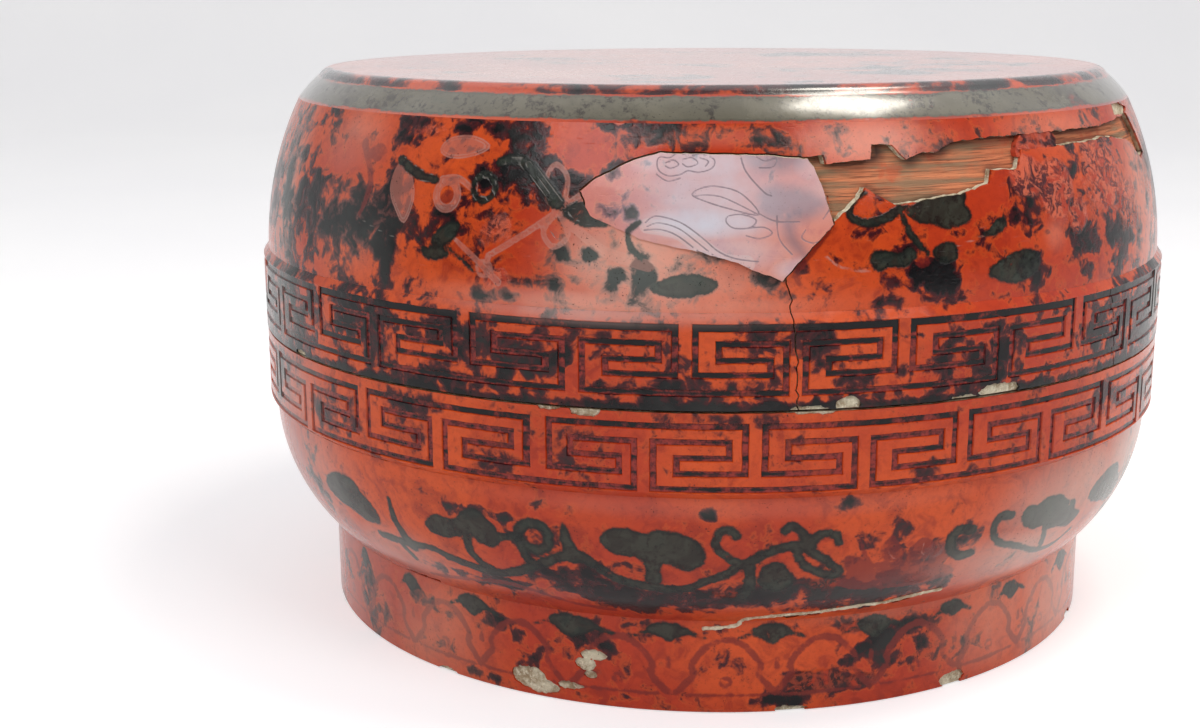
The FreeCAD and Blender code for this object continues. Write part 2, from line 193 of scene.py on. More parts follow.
def lacquerFinish(name, look):
    material, tree, shader, place = newMaterial(name)
    drift = cloud(tree, place, look["drift"], 3, 0.5)
    coarse = cloud(tree, place, look["blots"], 5, 0.56, 0.6)
    close = cloud(tree, place, look["blots"] * lacquerGrain["closeBlots"], 4, 0.56, 0.5)
    islands = cloud(tree, place, look["blots"] * lacquerGrain["islands"], 6, 0.6, 0.8)
    fine = cloud(tree, place, lacquerGrain["fine"], 6, 0.7)
    dust = cloud(tree, place, lacquerGrain["dust"], 2, 0.5)
    wear = cloud(tree, place, lacquerGrain["wear"], 7, 0.7, 0.3)
    fineMiddle = minus(tree, fine, 0.5)
    wearMiddle = minus(tree, wear, 0.5)

    # red ground with its drifts
    red = blend(tree, step(tree, drift, 0.38, 0.62), look["red"], look["warm"])
    red = blend(tree, step(tree, coarse, 0.50, 0.66, 0.0, 0.55), red, look["deep"])
    red = blend(tree, step(tree, islands, 0.50, 0.70, 0.0, 0.60), red, look["deep"])
    red = blend(tree, step(tree, fine, 0.40, 0.80, 0.0, 0.40), red, look["deep"])

    # black mottling with dark red edges
    blots = plus(tree, times(tree, coarse, 0.5), times(tree, close, 0.5))
    spread = times(tree, minus(tree, blots, 0.5), look["spread"])
    density = plus(tree, sums(tree, "MAXIMUM", layer(tree, "stain"), look["stain"]), spread)
    density = plus(tree, density, times(tree, fineMiddle, 0.30))
    red = blend(tree, step(tree, density, 0.20, 0.38, 0.0, 0.7), red, look["warm"])
    halo = step(tree, density, 0.26, 0.56)
    core = step(tree, density, 0.45, 0.84)
    mossy = step(tree, cloud(tree, place, lacquerGrain["moss"], 4, 0.6), 0.46, 0.66)
    black = blend(tree, mossy, look["black"], look["moss"])
    black = blend(tree, step(tree, dust, 0.60, 0.72, 0.0, 0.4), black, look["halo"])
    painted = blend(tree, halo, red, look["halo"])
    painted = blend(tree, core, painted, black)

    # wrinkled and crusted places
    wrinkle = cloud(tree, place, lacquerGrain["wrinkle"], 6, 0.7, 1.8)
    crustMask = step(tree, plus(tree, layer(tree, "crust"), wearMiddle), 0.32, 0.60)
    crustTint = blend(tree, step(tree, wrinkle, 0.44, 0.56), look["crustDark"], look["crustPale"])
    crustTint = blend(tree, step(tree, islands, 0.52, 0.62), crustTint, look["red"])
    painted = blend(tree, times(tree, crustMask, 0.85), painted, crustTint)

    # millimetres by which wear eats into the edge of a broad figure or a thin one
    jag = plus(tree, times(tree, fineMiddle, 2.0), times(tree, wearMiddle, 2.6))
    littleJag = times(tree, fineMiddle, 0.5)

    # dull red figures
    shadeLine = plus(tree, layer(tree, "shade"), jag)
    shade = times(tree, step(tree, shadeLine, look["shadeSoft"], -look["shadeSoft"]),
                  step(tree, wear, 0.66, 0.52, 0.35, look["shadeStrength"]))
    painted = blend(tree, shade, painted, look["shade"])

    # thin ribbons with pale contours
    roseLine = plus(tree, layer(tree, "rose"), littleJag)
    rose = times(tree, step(tree, roseLine, 0.2, -0.2), look["roseStrength"])
    painted = blend(tree, rose, painted, look["rose"])
    for inset in (0.25, 1.05):  # mm inside the edge
        contour = step(tree, sums(tree, "ABSOLUTE", plus(tree, roseLine, inset)), 0.30, 0.08)
        contour = times(tree, contour, step(tree, wear, 0.60, 0.42, 0.0, look["contourStrength"]))
        painted = blend(tree, contour, painted, look["contour"])

    # dark grey-green leaves and stems
    inkLine = plus(tree, layer(tree, "ink"), jag)
    ink = times(tree, step(tree, inkLine, 0.30, -0.40), step(tree, wear, 0.74, 0.62, 0.25, 0.98))
    inkRim = times(tree, step(tree, sums(tree, "ABSOLUTE", plus(tree, inkLine, 0.35)), 1.0, 0.1),
                   step(tree, wear, 0.62, 0.44, 0.25 * look["rim"], 0.85 * look["rim"]))
    inkFill = blend(tree, step(tree, islands, 0.40, 0.62), look["ink"], look["leaf"])
    inkFill = blend(tree, step(tree, plus(tree, wear, fineMiddle), 0.48, 0.66, 0.0, 0.7), inkFill,
                    look["black"])
    painted = blend(tree, ink, painted, inkFill)
    painted = blend(tree, inkRim, painted, look["black"])

    # dark paint in the carved lines, with painted shade in their level runs
    groove = layer(tree, "groove")
    grooveMask = step(tree, plus(tree, groove, times(tree, fineMiddle, 0.5)), 0.10, 0.50)
    grooveMask = times(tree, grooveMask, step(tree, wear, 0.68, 0.56, look["grooveLow"], 1.0))
    depth = plus(tree, groove, times(tree, minus(tree, 0.5, wear), 2.2))
    wine = blend(tree, step(tree, fine, 0.40, 0.60), look["halo"], look["wine"])
    deepest = step(tree, depth, look["grooveBlack"], look["grooveBlack"] + 0.38)
    painted = blend(tree, grooveMask, painted, blend(tree, deepest, wine, look["black"]))

    # pale bloom together with painted sheen (painted reflections of the lamps and the room), thin lines and
    # specks on top
    hazeCloud = step(tree, cloud(tree, place, lacquerGrain["bloom"], 5, 0.6), 0.35, 0.68, look["hazeLow"],
                     1.0)
    haze = times(tree, layer(tree, "haze"), hazeCloud, clamp=True)
    # the painted sheen is weaker on dark marks and takes a greyer tint there
    dark = sums(tree, "MAXIMUM", core, ink)
    haze = times(tree, haze, step(tree, dark, 0.0, 1.0, 1.0, look["hazeOnDark"]))
    hazeTint = blend(tree, dark, look["haze"], look["hazeDark"])
    painted = blend(tree, times(tree, haze, 0.9), painted, hazeTint)
    thin = step(tree, plus(tree, layer(tree, "line"), times(tree, fineMiddle, 0.25)), 0.14, -0.14)
    painted = blend(tree, times(tree, thin, 0.8), painted, look["line"])
    specks = step(tree, dust, 0.64, 0.72, 0.0, look["specks"])
    specks = times(tree, specks, step(tree, coarse, 0.46, 0.60, 0.25, 1.0))
    painted = blend(tree, specks, painted, look["black"])
    feed(tree, shader.inputs["Base Color"], painted)

    rough = step(tree, fine, 0.3, 0.8, look["rough"], look["rough"] + 0.10)
    rough = plus(tree, rough, times(tree, sums(tree, "MAXIMUM", core, groove), 0.05))
    feed(tree, shader.inputs["Roughness"], plus(tree, rough, times(tree, haze, 0.05), clamp=True))
    shader.inputs["IOR"].default_value = look["gloss"]
    shader.inputs["Coat Weight"].default_value = look["coat"]
    shader.inputs["Coat Roughness"].default_value = look["coatRough"]
    shader.inputs["Coat IOR"].default_value = look["coatGloss"]

    # slow waves of the coat, and the relief of paint, crust and scratches
    wave = cloud(tree, place, lacquerGrain["wave"], 4, 0.55)
    waved = bumped(tree, shader, wave, 0.5, lacquerGrain["waveDepth"])
    relief = plus(tree, times(tree, core, 0.5), times(tree, ink, 0.4))
    relief = minus(tree, relief, times(tree, thin, 0.9))
    relief = plus(tree, relief, times(tree, fine, 0.5))
    relief = plus(tree, relief, times(tree, crustMask, times(tree, wrinkle, 5.0)))
    along = stretched(tree, place, (1.0, 1.0, 14.0), (0.5, 0.3, 0.9))
    scratch = cloud(tree, along, lacquerGrain["scratch"], 3, 0.5)
    relief = minus(tree, relief, step(tree, scratch, 0.68, 0.74, 0.0, 0.4))
    bumped(tree, shader, relief, 0.55, lacquerGrain["reliefDepth"], waved)
    return material


redLook = {
    "red": srgb(178, 54, 24), "warm": srgb(206, 80, 30), "deep": srgb(132, 34, 20),
    "halo": srgb(72, 20, 24), "black": srgb(8, 6, 9), "moss": srgb(34, 34, 33), "wine": srgb(150, 50, 42),
    "shade": srgb(112, 28, 24), "crustDark": srgb(78, 20, 24), "crustPale": srgb(206, 96, 66),
    "rose": srgb(178, 108, 94), "ink": srgb(34, 38, 33), "leaf": srgb(50, 55, 47),
    # the haze colours tint pale bloom together with painted sheen, the reflection of the lamps and the room
    "line": srgb(112, 106, 100), "haze": srgb(230, 178, 160), "contour": srgb(176, 150, 140),
    "hazeDark": srgb(150, 156, 150), "hazeLow": 0.5, "hazeOnDark": 0.45,
    "drift": 13.0, "blots": 74.0,  # patterns in a metre
    "spread": 3.4, "stain": 0.10, "specks": 0.8, "rim": 0.7, "shadeStrength": 0.75, "shadeSoft": 0.35,
    "roseStrength": 0.55, "contourStrength": 0.28, "grooveLow": 0.5, "grooveBlack": 0.70,
    "rough": 0.13, "gloss": 1.32, "coat": 0.0, "coatRough": 0.16, "coatGloss": 1.4,
}
wallRed = lacquerFinish("WallLacquer", redLook)
# a paler copy of the red lacquer for the tilted loose plate: partly faded, bloomed lacquer, partly painted
# reflection of the light the plate catches, which also greys its dark marks
plateRedAndSheen = lacquerFinish("LoosePlateLacquer", {
    **redLook, "red": srgb(204, 126, 114), "warm": srgb(214, 140, 120), "deep": srgb(188, 112, 108),
    "halo": srgb(140, 98, 100), "black": srgb(66, 62, 66), "moss": srgb(92, 92, 92),
    "haze": srgb(206, 212, 224), "line": srgb(126, 112, 120), "shade": srgb(132, 100, 106),
    "shadeStrength": 0.80, "shadeSoft": 2.4, "rough": 0.12, "rose": srgb(220, 176, 166), "hazeLow": 0.55,
    "specks": 0.3, "hazeOnDark": 0.7})
crustRed = lacquerFinish("CrustLacquer", {
    **redLook, "red": srgb(176, 60, 38), "warm": srgb(190, 84, 58), "deep": srgb(110, 30, 22),
    "blots": 110.0, "rough": 0.3})
topRed = lacquerFinish("TopLacquer", {
    **redLook, "blots": 34.0, "haze": srgb(222, 184, 170), "ink": srgb(92, 90, 76),
    "leaf": srgb(104, 101, 86), "rough": 0.20, "gloss": 1.5, "coat": 0.9, "coatGloss": 1.6, "rim": 0.3})
lidBandRed = lacquerFinish("LidBandLacquer", {**redLook, "grooveLow": 0.65, "haze": srgb(196, 166, 158),
                                              "hazeOnDark": 0.8})
baseBandRed = lacquerFinish("BaseBandLacquer", {
    **redLook, "spread": 2.5, "stain": 0.0, "grooveBlack": 0.92, "haze": srgb(200, 158, 146),
    "hazeOnDark": 0.8})
bowlRed = lacquerFinish("BowlLacquer", {
    **redLook, "haze": srgb(206, 182, 170), "hazeOnDark": 0.85, "hazeLow": 0.75, "spread": 3.0,
    "stain": 0.0, "crustDark": srgb(52, 18, 18), "crustPale": srgb(146, 56, 36)})
footRed = lacquerFinish("FootLacquer", {
    **redLook, "shadeStrength": 0.8, "shade": srgb(116, 34, 26), "haze": srgb(216, 166, 146),
    "hazeOnDark": 0.7, "spread": 3.0, "stain": 0.0,
    "crustDark": srgb(52, 18, 16), "crustPale": srgb(146, 56, 34)})
innerBlack = lacquerFinish("InnerBlackLacquer", {
    **redLook, "red": srgb(34, 26, 26), "warm": srgb(44, 30, 28), "deep": srgb(22, 18, 20),
    "halo": srgb(60, 28, 24), "black": srgb(14, 12, 14), "moss": srgb(40, 38, 36), "rough": 0.30,
    "stain": 0.45, "specks": 0.2})
underBlack = lacquerFinish("UndersideLacquer", {
    **redLook, "red": srgb(48, 36, 32), "warm": srgb(66, 44, 36), "deep": srgb(30, 24, 24),
    "halo": srgb(84, 40, 30), "black": srgb(20, 17, 17), "moss": srgb(70, 64, 56), "rough": 0.46,
    "stain": 0.45, "specks": 0.5})


def groundFinish(name, pale, grey, brown):  # lumpy putty with sand in it
    material, tree, shader, place = newMaterial(name)
    clods = cloud(tree, place, 160, 7, 0.7)
    grit = cloud(tree, place, 900, 4, 0.7)
    colour = blend(tree, step(tree, clods, 0.40, 0.60), brown, grey)
    colour = blend(tree, step(tree, grit, 0.45, 0.70, 0.0, 0.7), colour, pale)
    dark = step(tree, cloud(tree, place, 1400, 2, 0.5), 0.66, 0.74, 0.0, 0.6)
    feed(tree, shader.inputs["Base Color"], blend(tree, dark, colour, srgb(70, 56, 44)))
    shader.inputs["Roughness"].default_value = 0.92
    height = plus(tree, times(tree, clods, 1.4), grit)
    bumped(tree, shader, height, 0.9, 0.0005)
    return material


groundCoat = groundFinish("GroundCoat", srgb(240, 232, 208), srgb(206, 196, 170), srgb(152, 130, 100))
driedFiller = groundFinish("DriedFiller", srgb(236, 226, 204), srgb(212, 198, 172), srgb(170, 146, 118))


def woodFinish(name, look):
    material, tree, shader, place = newMaterial(name)
    along = stretched(tree, place, look["stretch"])
    fibre = cloud(tree, along, look["fibre"], 6, 0.62, 0.25)
    streak = cloud(tree, along, look["fibre"] * 0.28, 5, 0.6, 0.4)
    pores = cloud(tree, along, look["fibre"] * 2.6, 3, 0.6)
    patch = cloud(tree, place, 34, 4, 0.6)
    colour = blend(tree, step(tree, streak, 0.36, 0.64), look["pale"], look["mid"])
    colour = blend(tree, step(tree, fibre, 0.46, 0.66, 0.0, 0.85), colour, look["dark"])
    greyed = plus(tree, times(tree, patch, 0.5), times(tree, streak, 0.5))
    colour = blend(tree, step(tree, greyed, 0.48, 0.62, 0.0, 0.7), colour, look["grey"])
    colour = blend(tree, step(tree, pores, 0.64, 0.72, 0.0, 0.8), colour, look["pore"])
    reddened = step(tree, cloud(tree, place, 75, 5, 0.65), 0.56, 0.66, 0.0, look["redStain"])
    colour = blend(tree, reddened, colour, look["redWood"])
    # a stain layer on the wood, where there is one, is painted shadow along the edges of the break, in the
    # pore colour
    paintedEdgeShadow = times(tree, layer(tree, "stain"), step(tree, streak, 0.3, 0.6, 0.7, 1.0))
    feed(tree, shader.inputs["Base Color"], blend(tree, paintedEdgeShadow, colour, look["pore"]))
    feed(tree, shader.inputs["Roughness"], step(tree, fibre, 0.3, 0.7, 0.66, 0.88))
    height = minus(tree, times(tree, fibre, 1.2), times(tree, pores, 0.6))
    bumped(tree, shader, height, 0.8, 0.0004)
    return material


hoopLook = {
    "stretch": (0.03, 0.03, 1.0), "fibre": 2000.0, "pale": srgb(216, 132, 88), "mid": srgb(184, 96, 58),
    "dark": srgb(112, 58, 38), "grey": srgb(132, 120, 92), "pore": srgb(54, 32, 26),
    "redWood": srgb(196, 82, 46), "redStain": 0.55,
}
hoopWood = woodFinish("BentHoopWood", hoopLook)
boardWood = woodFinish("BoardWood", {**hoopLook, "stretch": (0.08, 1.0, 1.0), "fibre": 380.0,
                                     "redStain": 0.0})
lipWood = woodFinish("DarkLipWood", {
    **hoopLook, "pale": srgb(92, 58, 42), "mid": srgb(72, 42, 32), "dark": srgb(44, 27, 23),
    "grey": srgb(70, 60, 52), "pore": srgb(24, 16, 14), "redStain": 0.3})
print("finishes ready")


# shape helpers
box = {  # mm, as in the CAD
    "footRadius": 139.0, "footHeight": 30.0, "bowlRadius": 158.6, "bowlHeight": 75.0, "bowlBulge": 5.2,
    "baseBandRadius": 160.8, "baseBandLow": 77.0, "baseRim": 100.6,
    "lidRim": 101.4, "lidBandRadius": 161.0, "lidBandHigh": 126.5,
    "wallLowRadius": 159.2, "wallLow": 129.0, "wallHighRadius": 146.3, "wallHigh": 180.0, "wallBulge": 3.0,
    "slopeRadius": 139.0, "slopeHigh": 187.6, "slopeBulge": 0.35, "topRadius": 135.6, "top": 190.0,
    "edgeBulge": 0.5, "lacquer": 0.7, "coat": 2.2, "footSetback": 0.3,
}
cutterFrom, cutterTo = 100.0, 180.0  # mm from the axis: what a cutter passes through
weld = 0.000002  # metres: points closer than this become one


def arcLine(start, end, bulge, count):
    start, end = np.array(start, float), np.array(end, float)
    chord = end - start
    length = np.hypot(*chord)
    outward = np.array((chord[1], -chord[0])) / length
    radius = (length * length / 4 + bulge * bulge) / (2 * bulge)
    line = []
    for share in np.linspace(0, 1, count):
        rise = math.sqrt(radius ** 2 - (length * (share - 0.5)) ** 2) - (radius - bulge)
        line.append(tuple(start + chord * share + outward * rise))
    return line


def joined(*lines):
    whole = []
    for line in lines:
        whole += line if not whole else line[1:]
    return whole


def offsetLine(line, depth):
    points = np.array(line, float)
    runs = np.diff(points, axis=0)
    sides = np.column_stack((-runs[:, 1], runs[:, 0]))
    sides /= np.linalg.norm(sides, axis=1)[:, None]
    before = np.vstack((sides[:1], sides))
    after = np.vstack((sides, sides[-1:]))
    middle = before + after
    middle /= np.linalg.norm(middle, axis=1)[:, None]
    reach = depth / np.maximum(0.5, (middle * before).sum(axis=1))
    moved = points + middle * reach[:, None]
    moved[:, 0] = np.maximum(moved[:, 0], 0.0)
    return [tuple(p) for p in moved]


def thinned(line, every):
    kept = line[::every]
    return kept if kept[-1] == line[-1] else kept + [line[-1]]


def editMode():
    bpy.ops.object.mode_set(mode="EDIT")


def objectMode():
    bpy.ops.object.mode_set(mode="OBJECT")


def selectAll():
    bpy.ops.mesh.select_all(action="SELECT")


def activate(piece):
    bpy.ops.object.select_all(action="DESELECT")
    bpy.context.view_layer.objects.active = piece
    piece.select_set(True)


def outlined(name, points, unit=mm):  # edges from point to point, left in edit mode
    bpy.ops.object.select_all(action="DESELECT")
    bpy.ops.mesh.primitive_plane_add(size=mm, location=(0, 0, 0))
    piece = bpy.context.object
    piece.name = piece.data.name = name
    editMode()
    bpy.ops.mesh.merge(type="CENTER")
    bpy.ops.transform.translate(value=[c * unit for c in points[0]])
    for before, after in zip(points, points[1:]):
        move = [(b - a) * unit for a, b in zip(before, after)]
        bpy.ops.mesh.extrude_vertices_move(TRANSFORM_OT_translate={"value": move})
    return piece


def weldAll():
    selectAll()
    bpy.ops.mesh.remove_doubles(threshold=weld)
    selectAll()


def turned(name, loop, steps, angle=360.0):  # a full turn is one sixteenth, doubled four times
    piece = outlined(name, [(r, 0, z) for r, z in loop + loop[:1]])
    doublings = 4 if angle == 360 else 0
    share = 2 ** doublings
    if doublings:
        selectAll()
    else:
        weldAll()
        bpy.ops.mesh.edge_face_add()
    bpy.ops.mesh.spin(steps=steps // share, angle=math.radians(angle / share), center=(0, 0, 0),
                      axis=(0, 0, 1))
    for i in range(doublings):
        selectAll()
        bpy.ops.mesh.duplicate()
        turn = math.radians(angle / share) * 2 ** i
        bpy.ops.transform.rotate(value=turn, orient_axis="Z", center_override=(0, 0, 0))
    weldAll()
    bpy.ops.mesh.normals_make_consistent(inside=False)
    objectMode()
    return piece


# the wall between two offsets of a line; only every so many points are kept inside
def shell(name, line, near, far, steps, every=12):
    outer = offsetLine(line, near) if near else line
    inner = thinned(offsetLine(line, far), every)
    loop = outer + inner[::-1]
    return turned(name, [p for i, p in enumerate(loop) if i == 0 or p != loop[i - 1]], steps)


def coordinates(piece):  # metres
    flat = np.empty(len(piece.data.vertices) * 3)
    piece.data.vertices.foreach_get("co", flat)
    return flat.reshape(-1, 3)


def setCoordinates(piece, points):
    piece.data.vertices.foreach_set("co", points.ravel())
    piece.data.update()


def azimuths(points):  # degrees from the front towards the right
    return np.degrees(np.arctan2(points[:, 0], -points[:, 1]))


def lumps(spot, *waves):  # smooth noise, each wave with its fineness and its strength
    return sum(noise.noise(spot * fineness) * strength for fineness, strength in waves)


def ragged(outline, spacing, amount, seed, closed=True):  # mm
    rough = []
    pairs = list(zip(outline, outline[1:] + outline[:1] if closed else outline[1:]))
    for (u0, z0), (u1, z1) in pairs:
        length = math.hypot(u1 - u0, z1 - z0)
        count = max(1, round(length / spacing))
        for i in range(count):
            share = i / count
            u, z = u0 + (u1 - u0) * share, z0 + (z1 - z0) * share
            spot = Vector((u * 0.30, z * 0.30, seed * 7.3))
            push = lumps(spot, (1.0, 0.6), (3.1, 0.5), (8.0, 0.3))
            normal = ((z1 - z0) / length, -(u1 - u0) / length)
            rough.append((u + normal[0] * push * amount, z + normal[1] * push * amount))
    return rough


def shrunk(outline, depth):  # depth is a number or a function of a point
    area = sum(a[0] * b[1] - b[0] * a[1] for a, b in zip(outline, outline[1:] + outline[:1]))
    side = 1 if area > 0 else -1
    moved = []
    for before, here, after in zip(outline[-1:] + outline[:-1], outline, outline[1:] + outline[:1]):
        du, dz = after[0] - before[0], after[1] - before[1]
        length = max(1e-6, math.hypot(du, dz))
        reach = depth(here) if callable(depth) else depth
        moved.append((here[0] - side * dz / length * reach, here[1] + side * du / length * reach))
    return moved


def block(name, outline, azimuth):  # a cutter through the wall, its outline as seen from outside
    cutter = outlined(name, [(u, -cutterFrom, z) for u, z in outline + outline[:1]])
    weldAll()
    bpy.ops.mesh.edge_face_add()
    bpy.ops.mesh.extrude_region_move(TRANSFORM_OT_translate={"value": (0, (cutterFrom - cutterTo) * mm, 0)})
    selectAll()
    bpy.ops.mesh.normals_make_consistent(inside=False)
    objectMode()
    cutter.data.transform(Matrix.Rotation(math.radians(azimuth), 4, "Z"))
    return cutter


def cut(piece, *cutters, operation="DIFFERENCE"):
    activate(piece)
    for cutter in cutters:
        modifier = piece.modifiers.new("Cut", "BOOLEAN")
        modifier.operation = operation
        modifier.solver = "MANIFOLD"
        modifier.object = cutter
        bpy.ops.object.modifier_apply(modifier=modifier.name)


def discard(*things):
    for thing in things:
        bpy.data.objects.remove(thing)


def chipped(piece, chips, seed):  # azimuth, height, width and rise of each chip
    for i, (azimuth, z, wide, tall) in enumerate(chips):
        turns = np.radians(np.arange(0, 360, 30))
        corners = [(math.cos(a) * wide / 2, z + math.sin(a) * tall / 2) for a in turns]
        cutter = block("Chip", ragged(corners, 0.8, 0.9, seed + i), azimuth)
        cut(piece, cutter)
        discard(cutter)


def subdivided(piece, cuts, smoothness=0.0):
    activate(piece)
    editMode()
    selectAll()
    bpy.ops.mesh.subdivide(number_cuts=cuts, smoothness=smoothness)
    objectMode()


def handMade(piece, amount=0.28):  # mm by which the surface wanders in and out
    points = coordinates(piece)
    radius = np.hypot(points[:, 0], points[:, 1])
    push = np.array([lumps(Vector(p), (9.0, 0.7), (30.0, 0.3)) for p in points])
    share = 1 + push * amount * mm / np.maximum(radius, 0.06)  # less near the axis
    points[:, :2] *= share[:, None]
    setCoordinates(piece, points)


# edges sharper than smooth degrees stay sharp
def finishPiece(piece, material, body, replaced, smooth=35):
    activate(piece)
    bpy.ops.object.shade_smooth_by_angle(angle=math.radians(smooth))
    if material:
        piece.data.materials.clear()
        piece.data.materials.append(material)
    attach(piece, body)
    if replaced:
        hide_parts(*replaced)


# painting helpers
def smoothPath(points, closed, cuts=5):
    points = np.array(points, float)
    count = len(points)
    if count < 3:
        return points
    path = []
    for i in range(count if closed else count - 1):
        if closed:
            a, b, c, d = (points[(i + k) % count] for k in (-1, 0, 1, 2))
        else:
            a, b, c, d = (points[min(max(i + k, 0), count - 1)] for k in (-1, 0, 1, 2))
        first, second, third = c - a, 2 * a - 5 * b + 4 * c - d, 3 * b - a - 3 * c + d
        for t in np.arange(cuts) / cuts:
            path.append(0.5 * (2 * b + first * t + second * t * t + third * t ** 3))
    if not closed:
        path.append(points[-1])
    return np.array(path)


# the points of a mark are azimuth in degrees and height in mm; a stroke widens or narrows from start to end
def stroke(points, start, end=None, closed=False):
    return {"kind": "stroke", "points": points, "start": start, "end": start if end is None else end,
            "closed": closed}


def blob(points):
    return {"kind": "blob", "points": points}


def ringMark(azimuth, height, radius, width, perDegree=2.75):
    points = [(azimuth + radius * math.sin(a) / perDegree, height + radius * math.cos(a))
              for a in np.radians(np.arange(0, 360, 45))]
    return stroke(points, width, closed=True)


def turnedMarks(marks, turn):
    return [{**m, "points": [(a + turn, z) for a, z in m["points"]]} for m in marks]


def allAround(art, turns):  # the front's marks and their repeats
    whole = {}
    for key, marks in art.items():
        whole[key] = marks + [m for turn in turns for m in turnedMarks(marks, turn)]
    return whole


# where each point of a piece lies; up is the way along the profile from its lowest point
def surfacePlace(piece, line):
    points = coordinates(piece) / mm
    profile = np.array(sorted(line, key=lambda p: p[1]), float)
    lengths = np.concatenate(([0], np.cumsum(np.linalg.norm(np.diff(profile, axis=0), axis=1))))
    return {
        "az": azimuths(points), "z": points[:, 2], "r": np.hypot(points[:, 0], points[:, 1]),
        "up": np.interp(points[:, 2], profile[:, 1], lengths), "heights": profile[:, 1], "lengths": lengths,
        "perDegree": math.radians(1) * float(profile[:, 0].mean()),
    }


def sideways(place, azimuth):  # mm along the surface from an azimuth
    return ((place["az"] - azimuth + 180) % 360 - 180) * place["perDegree"]


def markField(place, marks):  # mm from the nearest edge of a mark, below zero inside it
    margin = farAway + 1
    field = np.full(len(place["az"]), farAway)
    for mark in marks:
        points = np.array(mark["points"], float)
        centre = points[:, 0].mean()
        flat = np.column_stack(((points[:, 0] - centre) * place["perDegree"],
                                np.interp(points[:, 1], place["heights"], place["lengths"])))
        closed = mark["kind"] == "blob" or mark["closed"]
        path = smoothPath(flat, closed)
        x, y = sideways(place, centre), place["up"]
        low, high = path.min(axis=0) - margin, path.max(axis=0) + margin
        near = np.where((x > low[0]) & (x < high[0]) & (y > low[1]) & (y < high[1]))[0]
        if not len(near):
            continue
        x, y = x[near], y[near]
        best = np.full(len(near), 1e9)
        inside = np.zeros(len(near), bool)
        ends = np.vstack((path[1:], path[:1])) if closed else path[1:]
        for i, (a, b) in enumerate(zip(path, ends)):
            run = b - a
            share = np.clip(((x - a[0]) * run[0] + (y - a[1]) * run[1]) / max(1e-9, run @ run), 0, 1)
            distance = np.hypot(x - a[0] - run[0] * share, y - a[1] - run[1] * share)
            if mark["kind"] == "stroke":
                width = mark["start"] + (mark["end"] - mark["start"]) * (i + share) / len(ends)
                distance = distance - width / 2
            elif abs(run[1]) > 1e-9:
                crossing = (b[0] - a[0]) * (y - a[1]) / (b[1] - a[1]) + a[0]
                inside ^= ((a[1] > y) != (b[1] > y)) & (x < crossing)
            best = np.minimum(best, distance)
        if mark["kind"] == "blob":
            best = np.where(inside, -best, best)
        field[near] = np.minimum(field[near], best)
    return np.clip(field, -farAway, farAway)


def patchShape(x, y):  # one in the middle of a soft round patch, a half at its edge
    return np.exp(-(x * x + y * y) ** 1.5 * 0.7)


# a patch is azimuth, height, reach to the sides, reach up and down, and strength
def patchField(place, patches):
    field = np.zeros(len(place["az"]))
    for azimuth, height, width, rise, strength in patches:
        shape = patchShape(sideways(place, azimuth) / width, (place["z"] - height) / rise)
        field = np.maximum(field, strength * shape)
    return field


def scattered(seed, count, azimuthRange, heightRange, widthRange, riseRange, strengthRange):
    dice = np.random.default_rng(seed)
    spans = (azimuthRange, heightRange, widthRange, riseRange, strengthRange)
    return [tuple(dice.uniform(*span) for span in spans) for _ in range(count)]


# a layer is a list of patches or marks, or the values themselves
def paint(piece, place, **layers):
    fields = [(name, patchField) for name in ("stain", "haze", "groove", "crust")]
    fields += [(name, markField) for name in ("ink", "rose", "shade", "line")]
    for name, field in fields:
        values = layers.get(name, [])
        if isinstance(values, list):
            values = field(place, values)
        attribute = piece.data.attributes.new(name, "FLOAT", "POINT")
        attribute.data.foreach_set("value", np.asarray(values, np.float32))


# outlines of the break, the loose plate and the cracks
damage = {
    "breakAzimuth": 36.0, "breakLeft": -73.2, "breakLow": 153.0, "breakWidth": 148.4, "breakHeight": 23.3,
    "plateAzimuth": -4.0, "plateLeft": -35.0, "plateLow": 137.4, "plateWidth": 71.4, "plateHeight": 35.3,
    "gap": 0.45, "closedGap": 0.04,  # around the plate, and at its lower left edge
    "breakRough": 0.75, "plateRough": 0.35, "groundStep": 0.12,
    "wallRadius": 156.0, "crackRadius": 159.5, "crackWidths": (0.42, 0.4),
}
breakShares = [
    (0.00, 0.77), (0.03, 0.79), (0.03, 0.69), (0.11, 0.73), (0.12, 0.90), (0.16, 0.89), (0.18, 0.70),
    (0.21, 0.79), (0.25, 0.79), (0.28, 0.89), (0.35, 0.92), (0.54, 0.93), (0.75, 0.93), (0.87, 0.98),
    (0.94, 1.00), (0.97, 0.74), (1.00, 0.44), (0.96, 0.38), (0.89, 0.66), (0.77, 0.77), (0.62, 0.75),
    (0.45, 0.74), (0.43, 0.51), (0.36, 0.54), (0.35, 0.37), (0.28, 0.27), (0.22, 0.25), (0.14, 0.18),
    (0.09, 0.39), (0.06, 0.20), (0.02, 0.00), (0.02, 0.32), (0.00, 0.45),
]
plateShares = [
    (0.32, 1.00), (0.54, 0.99), (0.76, 0.98), (0.89, 0.95), (0.92, 0.88), (0.97, 0.65), (1.00, 0.44),
    (0.88, 0.18), (0.80, 0.00), (0.63, 0.16), (0.48, 0.24), (0.25, 0.33), (0.05, 0.50), (0.00, 0.69),
    (0.07, 0.80), (0.21, 0.94),
]
breakLine = [(damage["breakLeft"] + u * damage["breakWidth"],
              damage["breakLow"] + z * damage["breakHeight"])
             for u, z in breakShares]
plateLine = [(damage["plateLeft"] + u * damage["plateWidth"],
              damage["plateLow"] + z * damage["plateHeight"])
             for u, z in plateShares]
breakRough = ragged(breakLine, 1.1, damage["breakRough"], 3)
plateRough = ragged(plateLine, 1.0, damage["plateRough"], 5)
